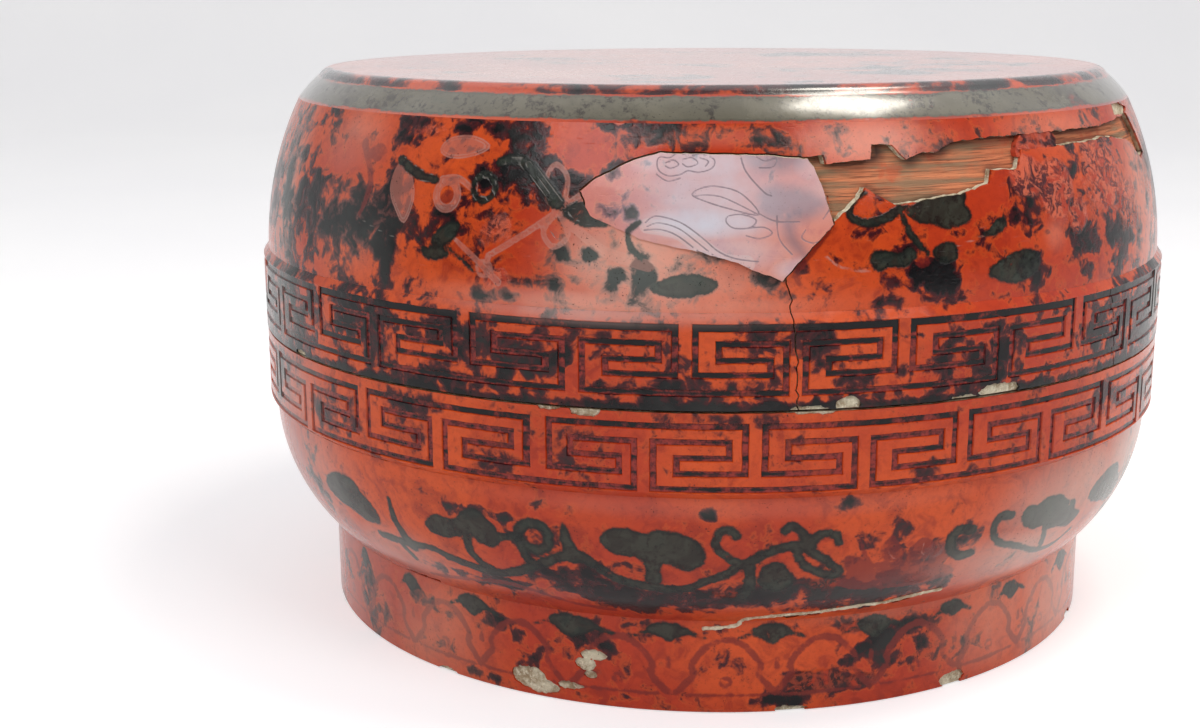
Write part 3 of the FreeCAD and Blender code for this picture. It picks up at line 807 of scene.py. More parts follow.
breakBlock = block("BreakCutter", breakRough, damage["breakAzimuth"])
breakInnerBlock = block("BreakGroundCutter", shrunk(breakRough, damage["groundStep"]),
                        damage["breakAzimuth"])
plateBlock = block("PlateHoleCutter", plateRough, damage["plateAzimuth"])


def plateGap(spot):
    closed = spot[0] < 18 and spot[1] < 158
    return damage["closedGap"] if closed else damage["gap"]


plateInner = block("PlateCutter", shrunk(plateRough, plateGap), damage["plateAzimuth"])


def crackBlock(name, path, width, seed):
    rough = ragged(path, 1.6, 0.5, seed, closed=False) + [path[-1]]
    azimuth = sum(a for a, z in path) / len(path)
    reach = damage["crackRadius"] * math.radians(1)
    left = [((a - azimuth) * reach - width / 2, z) for a, z in rough]
    right = [((a - azimuth) * reach + width / 2, z) for a, z in rough]
    return block(name, left + right[::-1], azimuth)


tipPath = [(4.4, 138.5), (4.87, 132.5), (5.12, 127.1), (5.22, 120.2), (5.51, 110.2), (5.8, 98.0)]
rightPath = [(46.9, 126.8), (47.4, 118.0), (48.2, 110.0), (48.6, 98.0)]
crackTip = crackBlock("TipCrack", tipPath, damage["crackWidths"][0], 11)
crackRight = crackBlock("RightCrack", rightPath, damage["crackWidths"][1], 12)
print("outlines ready")

# lid
bandCorner = (box["lidBandRadius"], box["lidBandHigh"])
wallFoot = (box["wallLowRadius"], box["wallLow"])
wallHead = (box["wallHighRadius"], box["wallHigh"])
slopeHead = (box["slopeRadius"], box["slopeHigh"])
topCorner = (box["topRadius"], box["top"])
wallLine = arcLine(wallFoot, wallHead, box["wallBulge"], 50)
slopeLine = arcLine(wallHead, slopeHead, box["slopeBulge"], 12)
edgeLine = arcLine(slopeHead, topCorner, box["edgeBulge"], 6)
flatLine = [(box["topRadius"] * share, box["top"]) for share in
            (1.0, 0.985, 0.965, 0.94, 0.91, 0.87, 0.82, 0.76, 0.69, 0.61, 0.52, 0.42, 0.31, 0.20, 0.09,
             0.0)]

wallArt = {
    "ink": [
        stroke([(-26.4, 168.6), (-24.6, 169.6), (-22.9, 167.8), (-21.2, 163.6), (-19.3, 158.4)], 2.4, 4.4),
        blob([(-18.6, 155.6), (-17.2, 158.8), (-15.0, 158.8), (-13.0, 156.6), (-13.2, 153.0),
              (-15.8, 151.4), (-17.8, 153.2)]),
        stroke([(-40.2, 167.2), (-37.4, 163.8), (-34.6, 162.6)], 3.4, 2.4),
        ringMark(-28.0, 161.4, 3.6, 2.4),
        stroke([(-10.4, 153.7), (-11.5, 151.0), (-11.3, 146.9), (-10.2, 144.2)], 1.0, 2.4),
        blob([(-34.3, 144.8), (-32.9, 149.6), (-30.6, 151.2), (-31.2, 146.2), (-32.8, 144.2)]),
        stroke([(-35.4, 142.6), (-33.0, 144.4), (-30.4, 141.4), (-28.4, 137.4)], 1.0, 1.4),
        blob([(-35.2, 142.4), (-33.4, 143.8), (-31.6, 142.2), (-32.8, 140.2), (-34.8, 140.0)]),
        stroke([(12.9, 161.0), (11.4, 158.2), (11.2, 154.8), (12.7, 153.0), (14.6, 153.8), (16.6, 156.4)],
               1.6, 3.0),
        blob([(16.4, 157.2), (18.0, 157.8), (19.6, 159.4), (21.4, 159.2), (22.8, 160.6), (24.6, 160.2),
              (24.4, 156.6), (25.2, 153.2), (23.7, 150.4), (21.9, 149.7), (20.6, 151.4), (18.6, 152.2),
              (17.2, 154.6)]),
        stroke([(16.9, 154.6), (17.7, 149.2), (19.5, 143.8)], 2.2, 2.0),
        blob([(13.0, 142.2), (13.6, 145.2), (15.4, 144.6), (16.4, 144.2), (17.6, 145.6), (18.4, 143.4),
              (17.0, 140.2), (15.2, 140.8), (13.8, 139.4)]),
        blob([(20.0, 144.6), (21.6, 146.8), (23.0, 145.4), (23.0, 142.0), (21.6, 140.4), (20.2, 142.0)]),
        blob([(25.4, 147.6), (27.2, 149.6), (28.6, 152.4), (29.6, 152.0), (29.4, 149.0), (27.8, 147.0)]),
        blob([(26.8, 136.8), (28.6, 140.2), (31.0, 142.6), (33.8, 141.6), (34.2, 137.6), (32.4, 133.6),
              (29.6, 133.2)]),
        blob([(-9.4, 136.2), (-7.4, 138.8), (-4.6, 139.6), (-2.4, 137.4), (-3.6, 134.2), (-7.4, 133.4)]),
    ],
    "rose": [
        ringMark(-32.7, 158.6, 3.9, 2.6),
        stroke([(-33.6, 162.8), (-31.4, 163.4), (-29.2, 160.2)], 2.4, 1.6),
        blob([(-34.8, 171.0), (-33.6, 174.6), (-30.4, 175.4), (-28.0, 172.6), (-30.2, 169.6),
              (-33.2, 168.8)]),
        blob([(-40.6, 166.0), (-38.4, 164.2), (-37.2, 157.0), (-38.2, 149.4), (-39.8, 152.8),
              (-41.2, 159.0)]),
        stroke([(-16.9, 160.4), (-22.0, 150.5), (-26.8, 142.4)], 1.9),
        stroke([(-19.3, 155.1), (-20.6, 150.1), (-19.4, 146.1), (-17.9, 149.3), (-18.7, 154.2)], 1.7,
               closed=True),
        stroke([(-20.1, 158.0), (-20.8, 164.2), (-19.9, 168.6), (-18.4, 165.0), (-18.7, 158.4)], 1.6,
               closed=True),
        stroke([(-17.8, 153.0), (-14.7, 146.6), (-12.8, 144.3), (-9.4, 141.8)], 2.6, 3.4),
        stroke([(-31.0, 146.4), (-27.9, 140.5), (-25.5, 135.2)], 1.4, 2.4),
        ringMark(-27.2, 138.8, 2.4, 1.0),
        stroke([(26.6, 147.6), (23.6, 145.6), (21.0, 144.4)], 0.7),
        stroke([(8.4, 144.4), (10.0, 141.2), (13.2, 139.4)], 0.8),
    ],
    "shade": [
        blob([(-33.8, 157.0), (-32.6, 160.4), (-31.2, 158.2), (-32.4, 156.2)]),
        blob([(-46.4, 168.2), (-44.6, 171.6), (-42.8, 169.2), (-44.4, 166.0)]),
        stroke([(-47.4, 171.0), (-44.6, 160.0), (-45.8, 150.0)], 3.4, 1.2),
        stroke([(5.6, 142.6), (7.4, 148.0), (8.8, 152.2)], 4.6, 1.6),
        stroke([(5.4, 139.0), (5.8, 136.6)], 2.6, 1.4),
        blob([(17.9, 141.2), (18.9, 143.4), (19.9, 141.4), (18.9, 139.6)]),
    ],
    "line": [
        stroke([(-25.8, 169.2), (-24.4, 170.2), (-22.4, 168.2), (-20.6, 163.9), (-18.7, 158.6)], 0.4),
        stroke([(-26.6, 167.6), (-24.8, 168.6), (-23.5, 167.0), (-21.9, 163.2), (-20.0, 158.6)], 0.4),
        stroke([(-25.4, 168.4), (-23.6, 168.6), (-21.6, 164.4), (-20.0, 160.4)], 0.3),
        stroke([(-18.0, 155.8), (-16.4, 157.6), (-14.2, 156.8), (-13.8, 154.4), (-15.6, 152.8),
                (-17.2, 154.0)], 0.4, closed=True),
        stroke([(-40.0, 168.4), (-37.0, 165.2), (-34.6, 163.6)], 0.4),
        stroke([(-40.6, 166.0), (-37.8, 162.6), (-34.8, 161.6)], 0.4),
        ringMark(-28.0, 161.4, 4.2, 0.4), ringMark(-28.0, 161.4, 2.6, 0.4),
        stroke([(-19.8, 150.6), (-18.9, 147.6), (-18.4, 151.0)], 0.4),
        stroke([(-46.0, 149.4), (-42.0, 146.4), (-39.0, 144.8)], 0.4),
    ],
}
plateArt = {
    "line": [
        stroke([(-8.9, 169.6), (-8.6, 171.2), (-7.6, 171.0), (-6.7, 172.4), (-5.4, 171.6), (-4.2, 172.2),
                (-2.9, 170.6), (-3.1, 168.4), (-4.4, 167.2), (-5.6, 167.6), (-6.4, 166.6), (-7.6, 166.2),
                (-8.6, 167.4)], 0.42, closed=True),
        stroke([(-8.0, 169.6), (-7.2, 170.4), (-6.6, 169.2), (-7.4, 168.2), (-8.0, 168.8)], 0.4),
        stroke([(-6.2, 170.6), (-5.2, 171.0), (-4.6, 169.6), (-5.6, 168.6), (-6.2, 169.4)], 0.4),
        stroke([(-4.4, 171.0), (-3.5, 170.2), (-3.8, 168.8)], 0.4),
        stroke([(-8.9, 166.6), (-7.7, 164.8), (-6.4, 165.6)], 0.4),
        stroke([(-5.1, 161.2), (-4.2, 163.0), (-2.5, 163.5), (-0.1, 161.6), (1.7, 156.0), (-1.3, 157.6),
                (-3.6, 159.4)], 0.42, closed=True),
        stroke([(-5.0, 161.0), (-2.2, 160.8), (1.5, 156.2)], 0.38),
        stroke([(-9.8, 153.6), (-8.7, 155.4), (-6.2, 153.8), (-4.0, 149.8), (-2.4, 146.2), (-0.6, 144.2),
                (1.6, 143.4)], 0.42),
        stroke([(-9.6, 152.6), (-8.4, 153.6), (-6.4, 152.2), (-4.4, 148.4), (-2.6, 144.6), (-0.9, 142.2),
                (0.8, 141.8)], 0.38),
        stroke([(-9.9, 151.6), (-8.2, 151.8), (-6.6, 150.4), (-4.8, 147.0), (-3.0, 143.4), (-1.8, 141.6),
                (-0.7, 141.0)], 0.42),
        stroke([(-1.4, 155.6), (0.0, 156.0), (1.4, 154.6), (0.8, 152.6), (-0.8, 152.4), (-1.6, 154.0)], 0.4,
               closed=True),
        stroke([(0.6, 152.4), (2.2, 152.6), (3.0, 151.0), (1.8, 149.6), (0.4, 150.4)], 0.4),
        stroke([(-0.2, 172.2), (0.4, 167.4), (2.2, 162.0), (3.0, 161.0)], 0.5),
        stroke([(1.4, 171.4), (2.4, 170.2), (3.6, 170.8), (3.2, 168.6), (1.8, 168.4)], 0.4),
        stroke([(8.4, 160.6), (9.0, 157.8), (8.2, 154.6)], 0.4),
        stroke([(6.4, 151.8), (6.0, 149.6), (7.2, 148.2), (8.4, 149.4)], 0.4),
        stroke([(3.5, 155.6), (3.7, 149.6), (5.0, 145.2)], 0.4),
        stroke([(1.6, 156.4), (3.4, 154.2), (5.8, 154.0)], 0.4),
    ],
    "shade": [
        stroke([(4.6, 155.4), (4.9, 150.0), (6.3, 144.6)], 3.6, 2.0),
        blob([(2.0, 162.4), (4.0, 163.6), (7.0, 162.0), (8.6, 158.6), (6.6, 154.6), (3.4, 154.2),
              (1.6, 157.2)]),
        blob([(0.2, 172.8), (3.0, 172.4), (6.4, 171.6), (6.2, 168.8), (3.6, 167.2), (1.2, 168.2)]),
    ],
    "rose": [
        stroke([(-9.6, 152.8), (-6.6, 151.6), (-4.2, 147.6), (-1.8, 143.4), (0.4, 142.8)], 4.2, 4.8),
    ],
}
wallStain = [
    (-47.5, 148.0, 20, 16, 0.78), (-40.5, 145.5, 10, 8, 0.84), (-52.0, 141.0, 14, 9, 0.66),
    (-57.0, 152.0, 14, 14, 0.70), (-34.8, 152.5, 12, 9, 0.62), (-40.5, 158.0, 9, 12, 0.52),
    (-40.8, 136.5, 2.8, 9, 0.85), (-35.6, 140.0, 2.6, 8, 0.80), (-24.5, 166.0, 30, 14, 0.60),
    (-16.0, 163.5, 12, 8, 0.58), (-22.0, 163.0, 12, 8, 0.74), (-10.4, 177.2, 30, 5.0, 0.58),
    (-24.0, 151.0, 22, 13, 0.48), (-31.9, 141.5, 7, 3, 0.66), (-30.0, 175.5, 38, 6, 0.56),
    (-56.0, 158.0, 16, 26, 0.66), (-62.0, 147.0, 18, 26, 0.74), (-18.4, 144.3, 2.6, 2.4, 0.95),
    (-15.5, 144.6, 2.6, 2.4, 0.90), (-12.7, 138.8, 3.2, 2.8, 0.95), (-21.0, 136.0, 10, 2.6, 0.66),
    (-14.6, 136.6, 10, 2.6, 0.62), (-9.9, 137.5, 4, 8, 0.85), (-10.8, 144.0, 3, 4, 0.80),
    (-17.4, 165.6, 3, 3, 0.85), (-10.6, 156.6, 3, 4, 0.60), (-66.0, 165.0, 14, 16, 0.50),
    (-20.0, 147.0, 12, 5, 0.42), (35.6, 160.0, 12, 9, 0.38), (48.0, 156.0, 22, 24, 0.42),
    (43.0, 142.0, 10, 16, 0.66), (52.0, 139.0, 20, 14, 0.60), (60.0, 164.0, 18, 18, 0.46),
    (33.0, 135.6, 10, 6, 0.66), (20.0, 137.8, 7, 5, 0.92), (20.0, 134.6, 14, 3, 0.60),
    (24.0, 131.0, 40, 2.6, 0.50), (-36.0, 131.0, 50, 3.0, 0.56), (70.0, 150.0, 18, 30, 0.62),
    (31.0, 152.0, 12, 5, 0.44), (6.4, 144.0, 4, 6, 0.50), (2.6, 138.6, 5, 3, 0.62),
    (4.0, 174.5, 14, 3, 0.46), (-44.0, 178.0, 34, 2.4, 0.40), (-52.0, 131.0, 16, 4.4, 0.66),
    (40.6, 168.0, 10, 8, 0.52), (16.0, 144.6, 8, 3, 0.60), (29.4, 137.2, 8, 7, 0.46),
] + scattered(21, 44, (74, 288), (131, 178), (10, 24), (7, 20), (0.42, 0.64))
wallClear = [
    (-50.0, 170.5, 15, 9, 0.95), (-33.5, 136.6, 10, 5.5, 1.0), (-38.6, 137.6, 2.4, 8, 1.0),
    (-44.4, 134.6, 3.5, 6, 1.0), (-30.4, 172.2, 8, 4, 0.75), (-32.6, 166.0, 7, 2.4, 0.6),
    (-17.3, 170.7, 4, 3.4, 1.0), (-14.8, 175.6, 4, 2.4, 1.0), (-36.6, 159.6, 3, 4, 0.8),
    (-54.0, 130.4, 8, 2.4, 0.6), (-28.0, 148.5, 5, 4, 0.6), (-62.5, 155.4, 3, 3, 0.6),
    (-16.0, 150.0, 12, 3.0, 0.45), (45.0, 137.0, 8, 2.0, 0.5), (44.0, 150.0, 5, 4, 0.6),
    (50.0, 160.0, 5, 6, 0.5),
]
wallCrust = [
    (33.6, 163.0, 7, 6, 0.9), (38.0, 158.0, 8, 9, 0.9), (41.0, 151.0, 5, 6, 0.7),
    (48.0, 162.0, 14, 13, 0.66), (54.0, 150.0, 10, 10, 0.60), (-25.6, 136.0, 5, 3.4, 0.7),
    (-27.0, 150.0, 9, 7, 0.46), (62.0, 160.0, 12, 14, 0.50), (-37.0, 176.0, 8, 3, 0.5),
] + scattered(27, 12, (80, 286), (134, 176), (6, 14), (4, 9), (0.4, 0.6))
# pale bloom and painted sheen on the wall: the lamps' reflection along its upper strip and the room's
# reflection towards the sides
wallBloomSheen = [
    (-50.0, 170.5, 15, 9, 0.34), (14.0, 174.5, 26, 5, 0.40), (40.0, 176.0, 30, 4, 0.24),
    (37.0, 145.4, 4, 4, 0.20), (59.4, 170.0, 8, 7, 0.30), (-11.0, 145.0, 20, 14, 0.84),
    (-8.0, 137.0, 27, 8, 0.66), (-12.0, 131.0, 40, 4.0, 0.66), (-66.0, 150.0, 12, 30, 0.50),
    (-48.0, 148.0, 20, 14, 0.22), (62.0, 152.0, 20, 30, 0.42), (-2.0, 176.5, 20, 2.4, 0.30),
] + scattered(22, 12, (74, 288), (135, 178), (8, 20), (5, 10), (0.15, 0.35))

wallLook = {
    "steps": 960, "repeats": (118, 236),  # degrees by which the ornament is repeated behind
    "leastStain": 0.24, "creamChip": 60.0,  # azimuth of the chip at the shoulder
    # the crust lies this far in from the wall's surface, mm
    "crustAzimuth": 36.0, "crustOuter": 0.25, "crustInner": box["coat"] - 0.35,
    "crustLumps": 420, "plateHinge": (-17.0, 150.0), "plateSwing": 1.5,  # degrees, mm and degrees
}
lidWall = shell("LidWall", wallLine, 0, box["lacquer"], wallLook["steps"])
plate = shell("LidLoosePlate", wallLine, 0, box["coat"], wallLook["steps"], 8)
chipOutline = [(-6.6, 180.6), (0.0, 180.6), (10.6, 178.0), (4.3, 175.8), (-3.0, 176.4), (-8.6, 177.0)]
creamChip = block("CreamChipCutter", ragged(chipOutline, 1.2, 0.5, 31), wallLook["creamChip"])
cut(lidWall, breakBlock, plateBlock, crackTip, creamChip)
cut(plate, plateInner, operation="INTERSECT")
subdivided(plate, 2)
place = surfacePlace(lidWall, wallLine)
stain = np.maximum(patchField(place, wallStain), wallLook["leastStain"])
stain *= 1 - patchField(place, wallClear)
paint(lidWall, place, stain=stain, haze=wallBloomSheen, crust=wallCrust,
      **allAround(wallArt, wallLook["repeats"]))
handMade(lidWall)
finishPiece(lidWall, wallRed, "lid", ["lid_wall_lacquer"])

# a crust of lacquer left along the upper edge of the break
crustOutline = [(-9.0, 168.6), (-7.6, 171.6), (-5.2, 174.2), (-1.0, 175.4), (4.0, 174.8), (8.6, 175.4),
                (10.8, 172.8), (9.4, 168.8), (0.0, 167.8)]
crustBlock = block("CrustCutter", ragged(crustOutline, 0.8, 0.9, 33), wallLook["crustAzimuth"])
crust = shell("BreakCrust", wallLine, wallLook["crustOuter"], wallLook["crustInner"], wallLook["steps"])
cut(crust, crustBlock, operation="INTERSECT")
subdivided(crust, 2)
place = surfacePlace(crust, wallLine)
paint(crust, place, stain=[(35.0, 171.0, 8, 6, 0.30), (39.4, 171.0, 4, 3, 0.60)],
      crust=[(34.0, 170.0, 4, 3, 0.6)])
points = coordinates(crust)
for p in points:
    push = lumps(Vector(p) * wallLook["crustLumps"], (1.0, 0.30), (2.7, 0.16)) * mm / math.hypot(p[0], p[1])
    p[0], p[1] = p[0] * (1 + push), p[1] * (1 + push)
setCoordinates(crust, points)
finishPiece(crust, crustRed, "lid", [], 60)
discard(crustBlock, creamChip)

# the loose plate shows the ground coat on its edges and its back
place = surfacePlace(plate, wallLine)
# painted reflection on the loose plate, brightest across its middle, with some bloom
plateSheen = [(-3.6, 154.6, 17, 5, 1.0), (-3.6, 169.6, 17, 6, 1.0), (6.0, 164.0, 16, 8, 0.50),
              (-2.4, 162.0, 20, 12, 0.86), (-9.0, 158.0, 10, 10, 0.40), (-2.0, 146.0, 16, 5, 0.46),
              (6.8, 168.0, 5, 4, 0.7), (5.6, 141.0, 6, 3, 0.7)]
plateStain = [(-13.6, 157.0, 5, 2.0, 0.62), (-11.4, 155.6, 2.6, 3, 0.60)]
paint(plate, place, stain=plateStain, haze=plateSheen, ink=wallArt["ink"][4:5], **plateArt)
handMade(plate)
plate.data.materials.clear()
plate.data.materials.append(plateRedAndSheen)
plate.data.materials.append(groundCoat)
for face in plate.data.polygons:
    centre = face.center / mm
    outer = float(np.interp(centre.z, [p[1] for p in wallLine], [p[0] for p in wallLine]))
    if math.hypot(centre.x, centre.y) < outer - box["lacquer"] - 0.05:
        face.material_index = 1
hingeAngle, hingeHeight = math.radians(wallLook["plateHinge"][0]), wallLook["plateHinge"][1] * mm
reach = damage["wallRadius"] * mm
hinge = Matrix.Translation((reach * math.sin(hingeAngle), -reach * math.cos(hingeAngle), hingeHeight))
swing = Matrix.Rotation(math.radians(-wallLook["plateSwing"]), 4, "Z")
plate.data.transform(hinge @ swing @ hinge.inverted())
finishPiece(plate, None, "lid", ["lid_lifted_plate"])
print("lid wall and loose plate ready")

topLook = {"steps": 720, "band": 4.4, "bandStretch": 1.38, "bandRise": 0.1, "edgeStain": 0.56,
           "flatRadius": 134.0}
topLine = joined(slopeLine, edgeLine, flatLine)
lidTop = shell("LidTop", topLine, 0, box["lacquer"], topLook["steps"], 6)
place = surfacePlace(lidTop, [wallHead, topCorner])
radius = place["r"]
slopeMiddle = (box["wallHigh"] + box["slopeHigh"]) / 2 + topLook["bandRise"]
bandDistance = np.abs(place["z"] - slopeMiddle) * topLook["bandStretch"] - topLook["band"]
bandDistance = np.where(radius > box["topRadius"] + 0.2, bandDistance, farAway)
points = coordinates(lidTop) / mm


def discPatches(points, patches):  # x, y, reach in x, reach in y and strength
    field = np.zeros(len(points))
    for x, y, wide, deep, strength in patches:
        shape = patchShape((points[:, 0] - x) / wide, (points[:, 1] - y) / deep)
        field = np.maximum(field, strength * shape)
    return field


topStain = [(55, -60, 34, 30, 0.52), (20, -20, 40, 26, 0.45), (90, -20, 26, 40, 0.46),
            (-20, -95, 50, 16, 0.36), (-60, 30, 46, 40, 0.34), (40, 70, 60, 30, 0.40),
            (-90, -60, 26, 22, 0.38), (10, -122, 110, 9, 0.30)]
# painted reflection of the room on the flat top, mixed with pale bloom
topBloomSheen = [(-60, -70, 60, 40, 0.55), (0, 0, 150, 150, 0.25), (70, -100, 50, 20, 0.3)]
onEdge = (radius > topLook["flatRadius"] + 0.5) & (place["z"] > box["slopeHigh"] - 0.6)
stain = np.maximum(discPatches(points, topStain), np.where(onEdge, topLook["edgeStain"], 0.0))
haze = np.where(radius < topLook["flatRadius"], discPatches(points, topBloomSheen), 0.0)
paint(lidTop, place, stain=stain, haze=haze, ink=np.clip(bandDistance, -farAway, farAway))
handMade(lidTop)
finishPiece(lidTop, topRed, "lid", ["lid_top_lacquer"])
print("lid top ready")

# key-fret bands
fretColumns = (2.2, 4.4, 2.2, 12.6, 2.2, 2.3, 2.2, 3.4)  # shares of a unit's width
fretSplits = (1, 2, 1, 5, 1, 1, 1, 1)  # faces in each column
fretHook = ({(0, r) for r in range(0, 7)} | {(c, 6) for c in range(0, 5)} | {(4, 4), (4, 5)}
            | {(c, 4) for c in range(2, 5)} | {(2, 2), (2, 3)} | {(c, 2) for c in range(2, 7)}
            | {(6, r) for r in range(2, 9)} | {(c, 0) for c in range(0, 8)} | {(c, 8) for c in range(0, 7)})
# the middle paint darkens the level runs more than the upright ones: dark paint together with painted shade
# from light above
fretCut = {"bevel": 0.30, "depth": 0.58, "edgePaint": 0.70, "middlePaintAndShade": 0.42, "topPaint": 1.15}
fretMirrored = {(6 - c, r) for c, r in fretHook if c < 7} | {(7, 8)}
fretShapes = (fretHook, fretMirrored)


def fretBand(name, look):
    rows, units = look["rows"], look["units"]
    line = look["below"] + [(look["radius"], z) for z in rows[::-1]] + look["above"]
    perUnit = sum(fretSplits)
    steps = units * perUnit
    stepAngle, unitAngle = 360 / steps, 360 / units
    piece = shell(name, line, 0, box["lacquer"], steps, 3)
    columnOf = []
    starts = []
    reach = 0.0
    for column, (width, count) in enumerate(zip(fretColumns, fretSplits)):
        columnOf += [column] * count
        starts += [reach + width * k / count for k in range(count)]
        reach += width

    # the faces that become carved lines
    centres = np.array([tuple(face.center) for face in piece.data.polygons]) / mm
    normals = np.array([tuple(face.normal) for face in piece.data.polygons])
    index = np.floor((azimuths(centres) % 360) / stepAngle + 1e-6).astype(int)
    radii = np.hypot(centres[:, 0], centres[:, 1])
    outward = (normals[:, 0] * centres[:, 0] + normals[:, 1] * centres[:, 1]) / radii > 0.8
    carved = []
    for k, z, faces in zip(index, centres[:, 2], outward):
        row = sum(1 for edge in rows[1:-1] if z < edge)
        unit = (k // perUnit) % units
        onBand = faces and rows[-1] <= z <= rows[0]
        carved.append(bool(onBand and (columnOf[k % perUnit], row) in fretShapes[unit % 2]))

    # even steps become the columns' own widths, and the units drift as in the photograph
    points = coordinates(piece)
    index = np.round(azimuths(points) % 360 / stepAngle).astype(int) % steps
    shift = np.array([starts[k % perUnit] for k in index]) / reach * unitAngle
    fresh = look["start"] + (index // perUnit) * unitAngle + shift
    warpAt, warpBy = zip(*look["warp"])
    fresh = np.radians(fresh + np.interp((fresh + 180) % 360 - 180, warpAt, warpBy))
    radial = np.hypot(points[:, 0], points[:, 1])
    points[:, 0], points[:, 1] = radial * np.sin(fresh), -radial * np.cos(fresh)
    setCoordinates(piece, points)

    bpy.context.tool_settings.mesh_select_mode = (False, False, True)
    editMode()
    bpy.ops.mesh.select_all(action="DESELECT")
    objectMode()
    piece.data.polygons.foreach_set("select", carved)
    editMode()
    bpy.ops.mesh.inset(thickness=fretCut["bevel"] * mm, depth=-fretCut["depth"] * mm, use_boundary=True)
    objectMode()
    bpy.context.tool_settings.mesh_select_mode = (True, False, False)
    subdivided(piece, 1)
    return piece


def carvedPaintAndShade(place, look):  # paint in the carved lines, most in the middle of each level run: dark paint together with painted shade, since light from above leaves level runs darker than upright ones
    rows, radius, z = look["rows"], look["radius"], place["z"]
    across = np.zeros(len(z))
    for top, bottom in zip(rows[::2], rows[1::2]):
        across = np.maximum(across, 1 - np.abs(2 * z - top - bottom) / (top - bottom))
    sunk = (z > rows[-1]) & (z < rows[0]) & (place["r"] < radius - 0.3)
    sunk &= place["r"] > radius - fretCut["depth"] - 0.08
    strength = fretCut["edgePaint"] + fretCut["middlePaintAndShade"] * across
    strength = np.where(z > rows[2] + 0.3, fretCut["topPaint"], strength)
    return np.where(sunk, strength, 0.0)


def carvedWobble(piece, amount=0.16):  # mm by which the knife strays
    points = coordinates(piece)
    for p in points:
        spot = Vector(p)
        p[2] += noise.noise(spot * 260.0) * amount * mm * 0.8
        side = noise.noise(spot * 240.0 + Vector((9, 4, 1))) * amount * mm
        length = math.hypot(p[0], p[1])
        p[0], p[1] = p[0] - p[1] / length * side, p[1] + p[0] / length * side
    setCoordinates(piece, points)


def finishBand(piece, look, material, body, replaced):
    rows = look["rows"]
    place = surfacePlace(piece, [(look["radius"], rows[-1] - 2), (look["radius"], rows[0] + 2)])
    rim = np.clip((look["rimHigh"] - place["z"]) / 2.2, 0, 1) * look["rimStain"]
    stain = np.maximum(patchField(place, look["stain"]), np.maximum(rim, look["leastStain"]))
    paint(piece, place, stain=stain, groove=carvedPaintAndShade(place, look), haze=look["haze"])
    carvedWobble(piece)
    handMade(piece, 0.12)
    finishPiece(piece, material, body, [replaced], 30)


lidBandLook = {
    "radius": box["lidBandRadius"], "units": 32, "start": -5.35,
    "rows": (126.25, 123.75, 121.55, 119.45, 116.85, 114.75, 112.65, 110.55, 107.45, 105.35),
    "below": [(box["lidBandRadius"], box["lidRim"]), (box["lidBandRadius"], 103.4)],
    "above": [bandCorner, (160.1, 127.75), wallFoot],
    "warp": ((-180, 0), (-60, -2.0), (-39.1, -2.3), (-27.85, -0.85), (-16.6, 0.1), (-5.35, 0.35),
             (5.9, 0.1), (17.15, 0.15), (28.4, 1.1), (50, 1.4), (180, 0)),
    "chips": ((6.9, 101.0, 12.0, 3.4), (10.9, 102.4, 8.0, 4.6), (28.5, 102.4, 16.0, 4.2),
              (24.0, 101.4, 9.0, 2.0), (-58.0, 101.8, 8.0, 2.4), (140.0, 101.6, 9.0, 2.4),
              (205.0, 101.8, 7.0, 2.8)),
    "stain": [
        (-62, 114, 36, 22, 0.72), (-44, 116, 20, 14, 0.70), (-31, 118, 22, 10, 0.66),
        (-8, 106, 28, 6, 0.52), (-22, 112, 18, 12, 0.58), (8, 112, 22, 14, 0.44), (30, 114, 22, 12, 0.44),
        (60, 114, 32, 22, 0.70), (46, 116, 18, 14, 0.56), (18, 104, 36, 4, 0.54), (-30, 105, 38, 4, 0.64),
        (78, 114, 36, 22, 0.66), (0, 125, 60, 4, 0.42), (-1, 118, 14, 7, 0.46), (-14, 119, 8, 5, 0.54),
    ] + scattered(23, 20, (84, 290), (103, 127), (6, 22), (4, 10), (0.5, 0.75)),
    "leastStain": 0.30, "rimStain": 0.80, "rimHigh": 105.0,
    # painted sheen towards the band's sides and along its top edge, where the room is reflected, with some
    # bloom
    "haze": [(-66, 114, 24, 20, 0.50), (70, 114, 22, 18, 0.45), (-12, 129, 44, 3, 0.66)],
}
